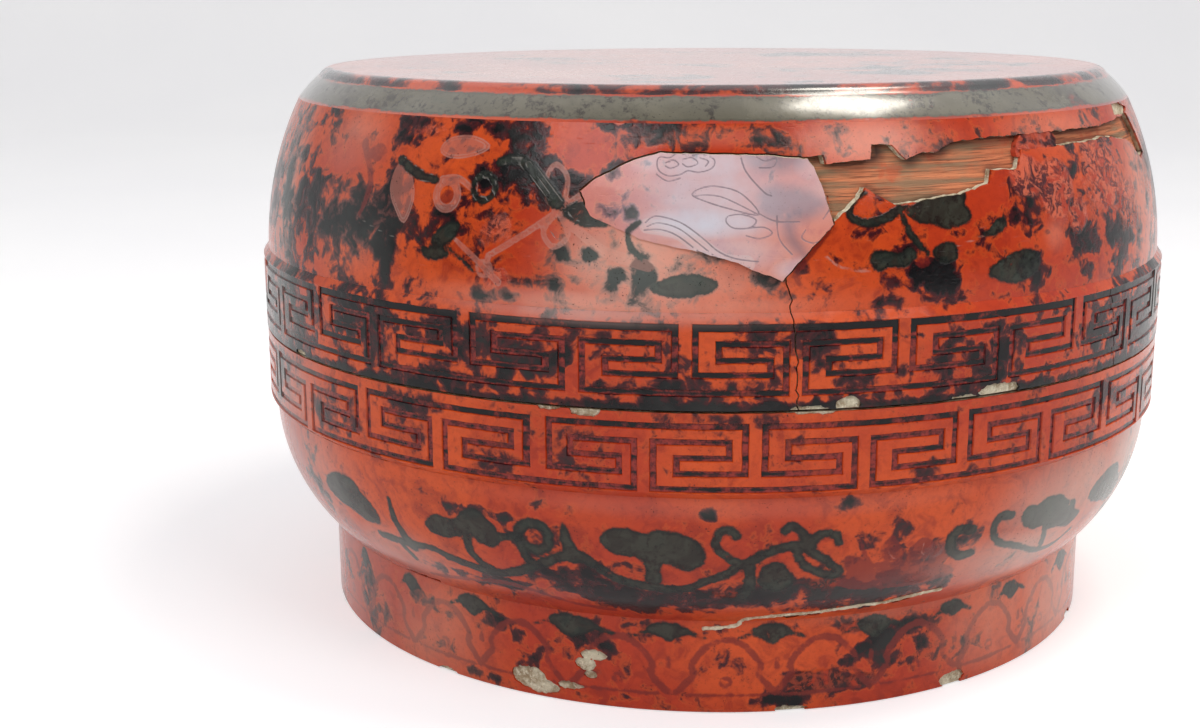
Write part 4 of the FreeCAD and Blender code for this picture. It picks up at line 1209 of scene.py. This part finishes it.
baseBandLook = {
    "radius": box["baseBandRadius"], "units": 32, "start": -20.6,
    "rows": (97.75, 95.65, 93.125, 91.025, 88.5, 86.4, 83.875, 81.775, 79.25, 77.15),
    "below": [(box["bowlRadius"], box["bowlHeight"]), (159.7, 76.0),
              (box["baseBandRadius"], box["baseBandLow"])],
    "above": [(box["baseBandRadius"], 99.2), (box["baseBandRadius"], box["baseRim"])],
    "warp": ((-180, 0), (-60, -1.5), (-54.35, -1.35), (-43.1, -0.8), (-31.85, -0.7), (-22.2, -0.1),
             (-20.6, 0.5), (-9.35, 0.15), (1.9, 0.2), (24.4, 0.3), (35.65, 0.85), (60, 1.0), (180, 0)),
    "chips": ((-15.8, 100.4, 9.0, 4.2), (-19.6, 100.8, 7.0, 2.0), (7.4, 100.8, 13.0, 1.8),
              (120.0, 100.6, 8.0, 2.2), (230.0, 100.6, 10.0, 2.0)),
    "stain": [
        (-50, 88, 16, 10, 0.55), (-36, 96, 14, 4, 0.50), (-26, 84, 10, 6, 0.45), (0, 98, 20, 3, 0.35),
        (20, 82, 14, 4, 0.42), (48, 92, 14, 8, 0.5), (62, 88, 20, 12, 0.55), (-66, 88, 16, 12, 0.6),
    ] + scattered(24, 14, (80, 284), (77, 99), (6, 20), (3, 9), (0.45, 0.66)),
    "leastStain": 0.20, "rimStain": 0.0, "rimHigh": box["baseBandLow"],
    # painted sheen towards the band's sides, where the room is reflected, with some bloom
    "haze": [(-64, 88, 26, 18, 0.50), (68, 88, 24, 16, 0.45)],
}
lidBand = fretBand("LidBand", lidBandLook)
baseBand = fretBand("BaseBand", baseBandLook)
chipped(lidBand, lidBandLook["chips"], 40)
chipped(baseBand, baseBandLook["chips"], 60)
cut(lidBand, crackTip, crackRight)
finishBand(lidBand, lidBandLook, lidBandRed, "lid", "lid_band_lacquer")
finishBand(baseBand, baseBandLook, baseBandRed, "base", "base_band_lacquer")
print("key-fret bands ready")

# ground coat of the lid and bare wood in the break
lidLine = joined([(box["lidBandRadius"], box["lidRim"]), (box["lidBandRadius"], 114.0), bandCorner],
                 [bandCorner, wallFoot],
                 thinned(wallLine, 4), thinned(slopeLine, 4), thinned(edgeLine, 3), thinned(flatLine, 3))
lidGround = shell("LidGroundCoat", lidLine, box["lacquer"], box["coat"], 480, 1)
cut(lidGround, breakInnerBlock, plateBlock, crackTip, crackRight)
handMade(lidGround)
finishPiece(lidGround, groundCoat, "lid", ["lid_ground_coat"])

woodLook = {
    # mm; the wood is set in from the wall's surface
    "low": 150.5, "high": 178.5, "inset": box["coat"] - 0.30, "thick": 0.55,
    "steps": 210, "angle": 82.0, "turn": -18.0,  # the spin goes clockwise from +X
    "along": 0.16, "across": 900,  # how fine the fibres are
    "upperPaintedShadow": 3.2, "lowerPaintedShadow": 1.4,  # mm of painted shadow along the edges of the break
}
woodLine = [p for p in offsetLine(wallLine, woodLook["inset"]) if woodLook["low"] < p[1] < woodLook["high"]]
denseLine = []
for before, after in zip(woodLine, woodLine[1:]):
    denseLine += [tuple(p) for p in np.linspace(before, after, 3)[:-1]]
woodLoop = denseLine + offsetLine(woodLine, woodLook["thick"])[::-4]
breakWood = turned("BreakWood", woodLoop, woodLook["steps"], woodLook["angle"])
breakWood.data.transform(Matrix.Rotation(math.radians(woodLook["turn"]), 4, "Z"))
points = coordinates(breakWood)
angles = azimuths(points)
radii = np.hypot(points[:, 0], points[:, 1])
skin = np.interp(points[:, 2] / mm, [p[1] for p in woodLine], [p[0] for p in woodLine])
for i, p in enumerate(points):
    if radii[i] / mm > skin[i] - 0.15:
        spot = Vector((angles[i] * woodLook["along"], 0.0, p[2] * woodLook["across"]))
        fibre = noise.noise(spot) * 0.20 + noise.noise(spot * 2.3 + Vector((3, 1, 0))) * 0.14
        p[0] *= 1 + fibre * mm / radii[i]
        p[1] *= 1 + fibre * mm / radii[i]
setCoordinates(breakWood, points)
cut(breakWood, breakInnerBlock, operation="INTERSECT")


def breakEdge(part):  # azimuths and heights along a part of the break's outline
    return [(damage["breakAzimuth"] + math.degrees(math.asin(u / damage["wallRadius"])), z) for u,
            z in part]


place = surfacePlace(breakWood, woodLine)
upperEdge = markField(place, [stroke(breakEdge(breakLine[:16]), 0.1)])
lowerEdge = markField(place, [stroke(breakEdge(breakLine[16:30]), 0.1)])
# painted shadow on the wood under the broken lacquer's edges, deepest and widest under the upper edge
upperPaintedShadow = np.clip(1 - upperEdge / woodLook["upperPaintedShadow"], 0, 1)
lowerPaintedShadow = 0.7 * np.clip(1 - lowerEdge / woodLook["lowerPaintedShadow"], 0, 1)
paint(breakWood, place, stain=np.maximum(upperPaintedShadow, lowerPaintedShadow))
finishPiece(breakWood, hoopWood, "lid", [])
print("break ready")

# bowl
bowlLine = arcLine((box["footRadius"], box["footHeight"]), (box["bowlRadius"], box["bowlHeight"]),
                   box["bowlBulge"], 50)
vine = {
    "ink": [
        blob([(-55.1, 61.3), (-51.7, 64.9), (-48.6, 64.4), (-47.2, 60.3), (-45.2, 56.4), (-45.2, 51.6),
              (-48.1, 50.6), (-50.5, 53.0), (-53.3, 54.2), (-55.6, 57.3)]),
        stroke([(-42.0, 62.4), (-41.9, 55.6), (-41.3, 50.7), (-40.6, 46.4)], 0.6, 4.6),
        stroke([(-46.3, 46.6), (-41.3, 46.9), (-36.9, 47.6), (-34.5, 45.7), (-32.0, 44.4), (-29.6, 43.4),
                (-27.0, 43.9), (-24.3, 46.7), (-20.3, 52.1), (-17.6, 54.9)], 2.4, 3.0),
        stroke([(-17.6, 54.9), (-16.0, 52.9), (-14.6, 49.9), (-13.0, 47.1), (-11.0, 45.5), (-8.2, 44.5),
                (-5.8, 44.4), (-4.1, 46.5), (-1.1, 50.5), (0.2, 53.3), (1.9, 55.7), (3.8, 58.5),
                (5.7, 59.8), (7.7, 59.8)], 3.2, 2.6),
        stroke([(-42.8, 46.9), (-41.4, 40.3)], 2.2, 1.4),
        blob([(-36.5, 57.5), (-35.2, 60.7), (-33.6, 60.9), (-32.1, 61.1), (-30.7, 64.2), (-29.2, 65.4),
              (-27.7, 62.4), (-26.6, 58.8), (-26.6, 55.4), (-27.9, 53.4), (-29.4, 54.4), (-30.4, 57.0),
              (-31.4, 55.6), (-33.8, 53.8), (-36.0, 54.4)]),
        stroke([(-30.8, 56.0), (-31.0, 51.0), (-30.1, 46.7), (-28.4, 44.1)], 2.6, 2.0),
        stroke([(-26.3, 57.6), (-24.3, 59.0)], 2.6, 1.8),
        stroke([(-24.2, 57.6), (-23.7, 61.6), (-22.3, 63.9), (-21.1, 63.0), (-20.5, 60.0), (-20.8, 56.6),
                (-22.0, 54.4)], 3.0, 2.2),
        stroke([(-22.0, 54.4), (-23.8, 56.4), (-23.6, 51.6), (-22.7, 49.4)], 2.6, 2.0),
        stroke([(-18.6, 64.6), (-18.4, 59.2), (-17.9, 54.2)], 0.6, 5.0),
        blob([(-14.6, 60.4), (-14.0, 63.1), (-12.8, 64.5), (-11.6, 64.4), (-9.7, 63.1), (-8.5, 64.6),
              (-7.2, 64.2), (-5.7, 63.2), (-4.2, 60.9), (-3.5, 57.4), (-3.8, 53.8), (-5.1, 51.4),
              (-6.3, 52.0), (-7.4, 53.8), (-8.2, 52.6), (-8.4, 46.6), (-10.0, 46.8), (-9.8, 52.4),
              (-10.6, 55.3), (-11.9, 55.8), (-13.6, 56.7)]),
        stroke([(0.4, 53.4), (-1.0, 56.3), (-2.1, 59.3), (-2.3, 62.6), (-1.6, 65.0), (-0.5, 64.9),
                (-0.2, 63.1)], 2.6, 2.0),
        stroke([(7.5, 59.8), (7.1, 62.8), (6.3, 65.3), (5.4, 66.2), (4.8, 64.8)], 2.6, 1.8),
        stroke([(7.7, 59.8), (8.2, 62.3), (9.3, 63.5), (10.5, 62.6), (10.9, 60.2)], 2.4, 2.0),
        stroke([(6.5, 60.0), (6.6, 55.8), (7.9, 51.8), (9.8, 49.3), (11.4, 49.6), (9.8, 54.1), (8.3, 56.7),
                (7.3, 58.7)], 2.2, closed=True),
        stroke([(1.3, 54.6), (1.5, 49.1), (1.4, 44.9), (1.0, 41.5)], 2.6, 4.0),
        blob([(2.6, 46.3), (2.7, 52.4), (4.1, 54.3), (5.5, 52.4), (6.2, 46.2), (4.6, 43.4)]),
        stroke([(28.1, 50.3), (26.6, 49.9), (25.1, 52.4), (24.6, 57.0), (25.6, 59.6), (27.2, 58.7)], 2.8,
               3.4),
        stroke([(32.8, 61.0), (31.0, 61.4), (30.3, 58.7), (30.8, 54.8), (32.2, 51.3)], 2.8, 1.8),
        stroke([(32.2, 51.3), (35.8, 48.2), (40.8, 43.2), (44.9, 42.8), (47.4, 46.6)], 1.5),
        blob([(34.6, 58.8), (35.2, 62.2), (37.0, 61.8), (38.4, 63.6), (41.0, 62.8), (42.6, 60.4),
              (44.8, 58.9), (45.2, 55.6), (47.3, 52.6), (45.6, 49.4), (42.8, 51.2), (40.7, 51.5),
              (39.4, 53.6), (36.7, 53.9)]),
        stroke([(39.6, 53.4), (40.6, 48.4), (41.4, 43.6)], 2.0, 1.4),
    ],
    "shade": [
        stroke([(13.2, 60.4), (14.0, 55.5), (15.2, 50.7)], 0.8, 1.8),
        blob([(16.9, 61.2), (15.7, 57.0), (16.4, 53.0), (18.2, 51.6), (18.9, 54.6), (18.0, 58.0)]),
        blob([(19.2, 51.8), (19.3, 55.4), (20.8, 58.9), (22.6, 55.8), (22.4, 52.4), (20.6, 50.6)]),
        blob([(23.8, 56.0), (22.4, 52.4), (22.4, 49.6), (24.4, 49.0), (25.2, 52.0)]),
        blob([(12.0, 55.4), (14.2, 53.2), (15.2, 50.0), (13.4, 48.6), (12.0, 51.4)]),
        stroke([(12.6, 49.4), (16.0, 50.8), (19.5, 50.4), (23.4, 48.2)], 2.0),
        stroke([(-40.5, 34.8), (-34.8, 36.9), (-28.1, 39.6), (-24.0, 38.1), (-19.4, 34.9), (-14.3, 33.6)],
               1.8),
        blob([(12.4, 48.4), (16.0, 49.8), (20.5, 49.8), (25.2, 47.4), (26.4, 42.5), (19.0, 41.0),
              (12.0, 43.6)]),
    ],
    "rose": [stroke([(16.6, 56.0), (17.4, 53.4), (17.9, 52.4)], 0.5),
             stroke([(21.0, 57.0), (20.9, 54.0), (21.4, 52.4)], 0.5)],
}
bowlStain = [
    (-17.5, 44.4, 18, 5.8, 0.82), (-12.4, 39.8, 14, 5.0, 0.88), (-22.6, 46.6, 7, 4.4, 0.64),
    (-6.5, 41.4, 12, 4.4, 0.72), (3.4, 41.6, 15, 6.8, 0.86), (-2.4, 40.6, 11, 4.6, 0.84),
    (10.6, 42.4, 13, 6.4, 0.84), (17.6, 40.8, 14, 5.4, 0.82), (23.4, 39.4, 11, 3.8, 0.64),
    (17.2, 45.6, 6, 4.0, 0.74), (-52.0, 57.0, 12, 8, 0.40), (-31.0, 39.6, 30, 2.8, 0.56),
    (-25.6, 64.6, 2.6, 2.2, 0.75), (-29.6, 64.8, 9, 3.2, 0.56), (-22.0, 59.0, 8, 7, 0.54),
    (-3.3, 70.0, 2.6, 2.2, 0.7), (18.0, 55.0, 20, 10, 0.46), (26.4, 55.0, 7, 7, 0.52),
    (-8.0, 35.4, 22, 3, 0.46), (10.0, 36.0, 32, 2.8, 0.62), (-60.0, 62.0, 14, 16, 0.42),
    (8.6, 53.0, 3, 3, 0.50), (62.0, 58.0, 16, 16, 0.42), (-20.0, 69.0, 6, 2.8, 0.44),
    (12.0, 73.0, 5, 2.0, 0.56), (-14.0, 51.0, 14, 3.0, 0.46), (28.0, 57.0, 3, 3, 0.80),
    (25.4, 41.0, 5, 3, 0.60),
] + scattered(25, 26, (66, 292), (34, 72), (5, 15), (3, 9), (0.48, 0.76))
bowlLook = {
    "steps": 960, "repeats": (104, 206), "broader": 0.35,  # mm by which the dark marks are broadened
    "chips": ((7.5, 32.4, 18.0, 1.6), (20.0, 34.6, 13.0, 1.4), (-44.0, 31.2, 18.0, 1.0),
              (100.0, 32.0, 16.0, 2.0), (210.0, 32.0, 12.0, 2.2)),
    # painted sheen towards the sides of the bowl, where the room is reflected, with some bloom
    "haze": [(-60, 60, 24, 20, 0.30), (62, 60, 30, 26, 0.80), (38, 46, 30, 9, 0.74), (44, 62, 28, 14, 0.72),
             (0, 72, 60, 3, 0.10), (-44, 42, 20, 8, 0.36)],
    "crust": [(10.0, 46.0, 7, 3, 0.6), (22.4, 54.0, 5, 4, 0.6), (-1.0, 43.0, 5, 2.4, 0.5),
              (22.0, 44.0, 6, 3, 0.6)],
}
bowl = shell("Bowl", bowlLine, 0, box["lacquer"], bowlLook["steps"])
chipped(bowl, bowlLook["chips"], 80)
place = surfacePlace(bowl, bowlLine)
marks = allAround(vine, bowlLook["repeats"])
marks["ink"] = markField(place, marks["ink"]) - bowlLook["broader"]
paint(bowl, place, stain=bowlStain, haze=bowlLook["haze"], crust=bowlLook["crust"], **marks)
handMade(bowl)
finishPiece(bowl, bowlRed, "base", ["bowl_lacquer"])
print("bowl ready")

# foot
footLine = [(box["footRadius"], z) for z in np.linspace(box["footSetback"], box["footHeight"], 28)]
lappetLook = {
    "count": 28, "start": 179.4, "arcPerDegree": 2.43,  # mm along the foot for a degree
    "arch": [(0.98, 6.4), (0.84, 8.6), (0.64, 12.6), (0.68, 15.6), (0.50, 19.6), (0.28, 22.6), (0.0, 23.8)],
    "drift": ((-180, -52, -39, -26, -13, -0.6, 12, 30, 180), (0, -1.3, -1.1, -1.7, -0.8, 0, -0.4, 0, 0)),
    "leaves": [(-60.3, 2.6), (-47.2, 3.6), (-35.4, 5.4), (-20.5, 7.2), (-7.9, 6.4), (5.0, 5.6), (18.6, 5.6),
               (30.7, 4.6), (42.4, 4.4), (58.0, 5.0), (72.0, 6.0)],
}
lappets = []
half = 180 / lappetLook["count"]
for i in range(lappetLook["count"]):
    middle = (i * half * 2 + lappetLook["start"]) % 360 - 180
    middle += float(np.interp(middle, *lappetLook["drift"]))
    arch = [(middle - half * u, z) for u, z in lappetLook["arch"]]
    arch += [(middle + half * u, z) for u, z in lappetLook["arch"][-2::-1]]
    lappets += [
        stroke(arch, 2.0), ringMark(middle, 10.0, 1.5, 0.9, lappetLook["arcPerDegree"]),
        stroke([(middle - half * 0.8, 5.6), (middle + half * 0.8, 5.8)], 1.0),
        stroke([(middle + half, 15.0), (middle + half, 18.0)], 1.6, 0.6),
    ]
leaves = []
leavesBehind = [(86 + 13 * k, 4.6 + (k * 7 % 5) * 0.6) for k in range(16)]
for i, (azimuth, wide) in enumerate(lappetLook["leaves"] + leavesBehind):
    half = wide / lappetLook["arcPerDegree"]
    low = 21.4 + (i * 5 % 3) * 0.8
    outline = [(-1.1, 26.6), (-0.5, 29.0), (0.5, 28.8), (1.2, 26.0), (0.5, low + 1.2), (0.1, low),
               (-0.5, low + 1.6)]
    leaves += [
        blob([(azimuth + half * u, z) for u, z in outline]),
        stroke([(azimuth + half * 0.9, 26.2), (azimuth + half * 1.9, 24.2)], 1.6, 0.6),
        stroke([(azimuth - half * 0.9, 26.4), (azimuth - half * 1.8, 24.0)], 1.4, 0.5),
    ]
footStain = [
    (-31.0, 22.4, 7, 4, 0.62), (-28.5, 19.6, 4, 3, 0.60), (-27.0, 10.6, 12, 4, 0.50),
    (-17.6, 21.0, 9, 4, 0.60), (-22.0, 16.6, 9, 4, 0.55), (-12.0, 23.4, 6, 3, 0.66), (5.7, 4.0, 8, 3, 0.60),
    (10.6, 8.9, 11, 5, 0.62), (16.4, 7.9, 11, 3.6, 0.72), (7.3, 3.4, 5, 3, 0.86),
    (17.4, 17.6, 5, 3.4, 0.84), (20.2, 20.8, 6, 3.6, 0.86), (24.0, 24.0, 7, 3.0, 0.80),
    (15.0, 15.4, 3.4, 2.2, 0.70), (25.6, 17.4, 3, 2.6, 0.80), (20.4, 13.0, 10, 4, 0.56),
    (-45.0, 22.0, 10, 4, 0.50), (31.0, 12.0, 10, 5, 0.44), (0.0, 27.6, 80, 2, 0.40),
    (48.0, 14.0, 12, 10, 0.44), (-60.0, 14.0, 12, 12, 0.46), (-34.0, 3.0, 10, 2, 0.56),
    (-20.0, 3.0, 20, 2, 0.50),
] + scattered(26, 22, (66, 292), (2, 28), (5, 15), (3, 8), (0.46, 0.70))
footLook = {
    "steps": 832, "leastStain": 0.16,
    "chips": ((-26.6, 5.8, 13.0, 7.4), (-24.6, 3.6, 12.0, 5.0), (-20.6, 5.4, 9.0, 2.4),
              (-17.6, 16.4, 9.0, 4.0), (-18.6, 13.2, 7.0, 4.6), (-18.0, 9.8, 4.0, 3.0),
              (7.8, 0.8, 11.0, 2.6), (31.2, 2.2, 11.0, 4.8), (-40.0, 0.4, 9.0, 1.8), (64.0, 1.0, 8.0, 3.4),
              (150.0, 1.0, 12.0, 4.0), (236.0, 2.0, 9.0, 4.4)),
    # painted sheen towards the sides of the foot and a painted highlight along its top at the joint, with
    # some bloom
    "haze": [(-60, 15, 24, 24, 0.36), (56, 15, 26, 24, 0.60), (38, 18, 20, 14, 0.40),
             (-44, 15, 22, 20, 0.34), (30, 30, 40, 3, 0.3)],
    "crust": [(10.6, 8.9, 9, 4.4, 0.8), (17.4, 8.0, 7, 3, 0.6), (-17.0, 11.0, 4, 4, 0.5),
              (16.0, 25.6, 7, 2.4, 0.6)],
}
foot = shell("FootRing", footLine, 0, box["lacquer"], footLook["steps"])
chipped(foot, footLook["chips"], 100)
place = surfacePlace(foot, footLine)
stain = np.maximum(patchField(place, footStain), footLook["leastStain"])
paint(foot, place, stain=stain, haze=footLook["haze"], crust=footLook["crust"], shade=lappets, ink=leaves)
handMade(foot)
finishPiece(foot, footRed, "base", ["foot_lacquer"])
print("foot ready")

ridgeLook = {
    "path": ((-3.6, 27.6), (-1.6, 27.9), (0.6, 28.7), (1.2, 30.4), (1.9, 31.6), (4.2, 32.4), (6.8, 33.1),
             (9.0, 33.2), (11.2, 33.7), (14.4, 34.4), (16.3, 34.9), (18.2, 34.6), (20.0, 35.3),
             (23.7, 36.5), (26.5, 36.7)),
    "thick": (0.35, 0.55), "sink": 0.15, "lumps": 0.22,  # mm
}
outside = joined(footLine, bowlLine)
spots = []
for azimuth, z in smoothPath(ridgeLook["path"], False):
    reach = float(np.interp(z, [p[1] for p in outside], [p[0] for p in outside])) - ridgeLook["sink"]
    turn = math.radians(azimuth)
    spots.append(Vector((reach * math.sin(turn), -reach * math.cos(turn), z)) * mm)
ridge = outlined("JointFiller", spots, 1)
objectMode()
skin = ridge.modifiers.new("Skin", "SKIN")
for i, vertex in enumerate(ridge.data.skin_vertices[0].data):
    share = 0.5 + noise.noise(Vector((i * 0.37, 2.0, 0.0)))
    thick = ridgeLook["thick"][0] + (ridgeLook["thick"][1] - ridgeLook["thick"][0]) * share
    vertex.radius = (thick * mm, thick * mm)
bpy.ops.object.modifier_apply(modifier=skin.name)
subdivided(ridge, 2, 0.8)
editMode()
selectAll()
bpy.ops.mesh.normals_make_consistent(inside=False)
objectMode()
points = coordinates(ridge)
for p in points:
    p += np.array(noise.noise_vector(Vector(p) * 900)) * ridgeLook["lumps"] * mm
setCoordinates(ridge, points)
finishPiece(ridge, driedFiller, "base", [], 60)
discard(breakBlock, breakInnerBlock, plateBlock, plateInner, crackTip, crackRight)

# parts that keep their own shape
finishes = {
    groundCoat: ("base_ground_coat",),
    innerBlack: ("lid_lining", "base_lining"),
    underBlack: ("underside_lacquer",),
    lipWood: ("base_lip", "base_band_hoop", "lid_band_hoop"),
    boardWood: ("base_floor_board_front", "base_floor_board_middle", "base_floor_board_back",
                "lid_top_board_front", "lid_top_board_middle", "lid_top_board_back"),
    hoopWood: ("foot_ring", "bowl_hoop_lower", "bowl_hoop_middle", "bowl_hoop_upper",
               "lid_shoulder_hoop", "lid_wall_hoop_upper", "lid_wall_hoop_lower"),
}
for material, names in finishes.items():
    for name in names:
        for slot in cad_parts[name].material_slots:
            slot.material = material

# floor and backdrop
stage = {
    "paper": srgb(238, 237, 238), "mottle": srgb(232, 231, 234), "lift": 0.40,
    "wallDistance": 2.6, "width": 9.0, "height": 4.0, "bend": 0.8,  # metres
}


def seenRays(tree):
    rays = addNode(tree, "ShaderNodeLightPath")
    both = sums(tree, "MAXIMUM", rays.outputs["Is Camera Ray"], rays.outputs["Is Glossy Ray"])
    return sums(tree, "MAXIMUM", both, rays.outputs["Is Transmission Ray"])


stageMaterial, tree, shader, place = newMaterial("StagePaper")
mottle = cloud(tree, place, 3.0, 4, 0.5)
paper = blend(tree, step(tree, mottle, 0.3, 0.7), stage["paper"], stage["mottle"])
feed(tree, shader.inputs["Base Color"], paper)
shader.inputs["Roughness"].default_value = 0.7
shader.inputs["Emission Color"].default_value = (1.0, 0.99, 0.99, 1.0)
feed(tree, shader.inputs["Emission Strength"], times(tree, seenRays(tree), stage["lift"]))
bpy.ops.object.select_all(action="DESELECT")
bpy.ops.mesh.primitive_plane_add(size=1, location=(0, 0, 0))
sweep = bpy.context.object
sweep.name = "StageSweep"
sweep.data.transform(Matrix.Diagonal((stage["width"], stage["wallDistance"] * 2, 1, 1)))
editMode()
bpy.ops.mesh.select_all(action="DESELECT")
objectMode()
for edge in sweep.data.edges:
    edge.select = all(sweep.data.vertices[v].co.y > 1 for v in edge.vertices)
for vertex in sweep.data.vertices:
    vertex.select = vertex.co.y > 1
editMode()
bpy.ops.mesh.extrude_region_move(TRANSFORM_OT_translate={"value": (0, 0, stage["height"])})
objectMode()
bend = sweep.modifiers.new("Bend", "BEVEL")
bend.width = stage["bend"]
bend.segments = 16
bpy.ops.object.modifier_apply(modifier=bend.name)
bpy.ops.object.shade_smooth()
sweep.data.materials.append(stageMaterial)

world = bpy.data.worlds.new("StudioWorld")
bpy.context.scene.world = world
world.use_nodes = True
tree = world.node_tree
background = tree.nodes["Background"]
background.inputs["Color"].default_value = (0.97, 0.98, 1.0, 1.0)
direction = addNode(tree, "ShaderNodeSeparateXYZ")
feed(tree, direction.inputs[0], addNode(tree, "ShaderNodeTexCoord").outputs["Generated"])
light = step(tree, direction.outputs["Y"], -0.75, 0.15, studio["frontLight"], studio["backLight"])
direct = seenRays(tree)
glossy = addNode(tree, "ShaderNodeLightPath").outputs["Is Glossy Ray"]
gloss = step(tree, direction.outputs["Y"], -0.45, 0.25, studio["frontGloss"], studio["worldSeen"])
shown = plus(tree, times(tree, glossy, gloss),
             times(tree, minus(tree, 1.0, glossy), studio["worldSeen"]))
seen = times(tree, direct, shown)
unseen = times(tree, minus(tree, 1.0, direct), light)
feed(tree, background.inputs["Strength"], plus(tree, seen, unseen))
print("stage ready")
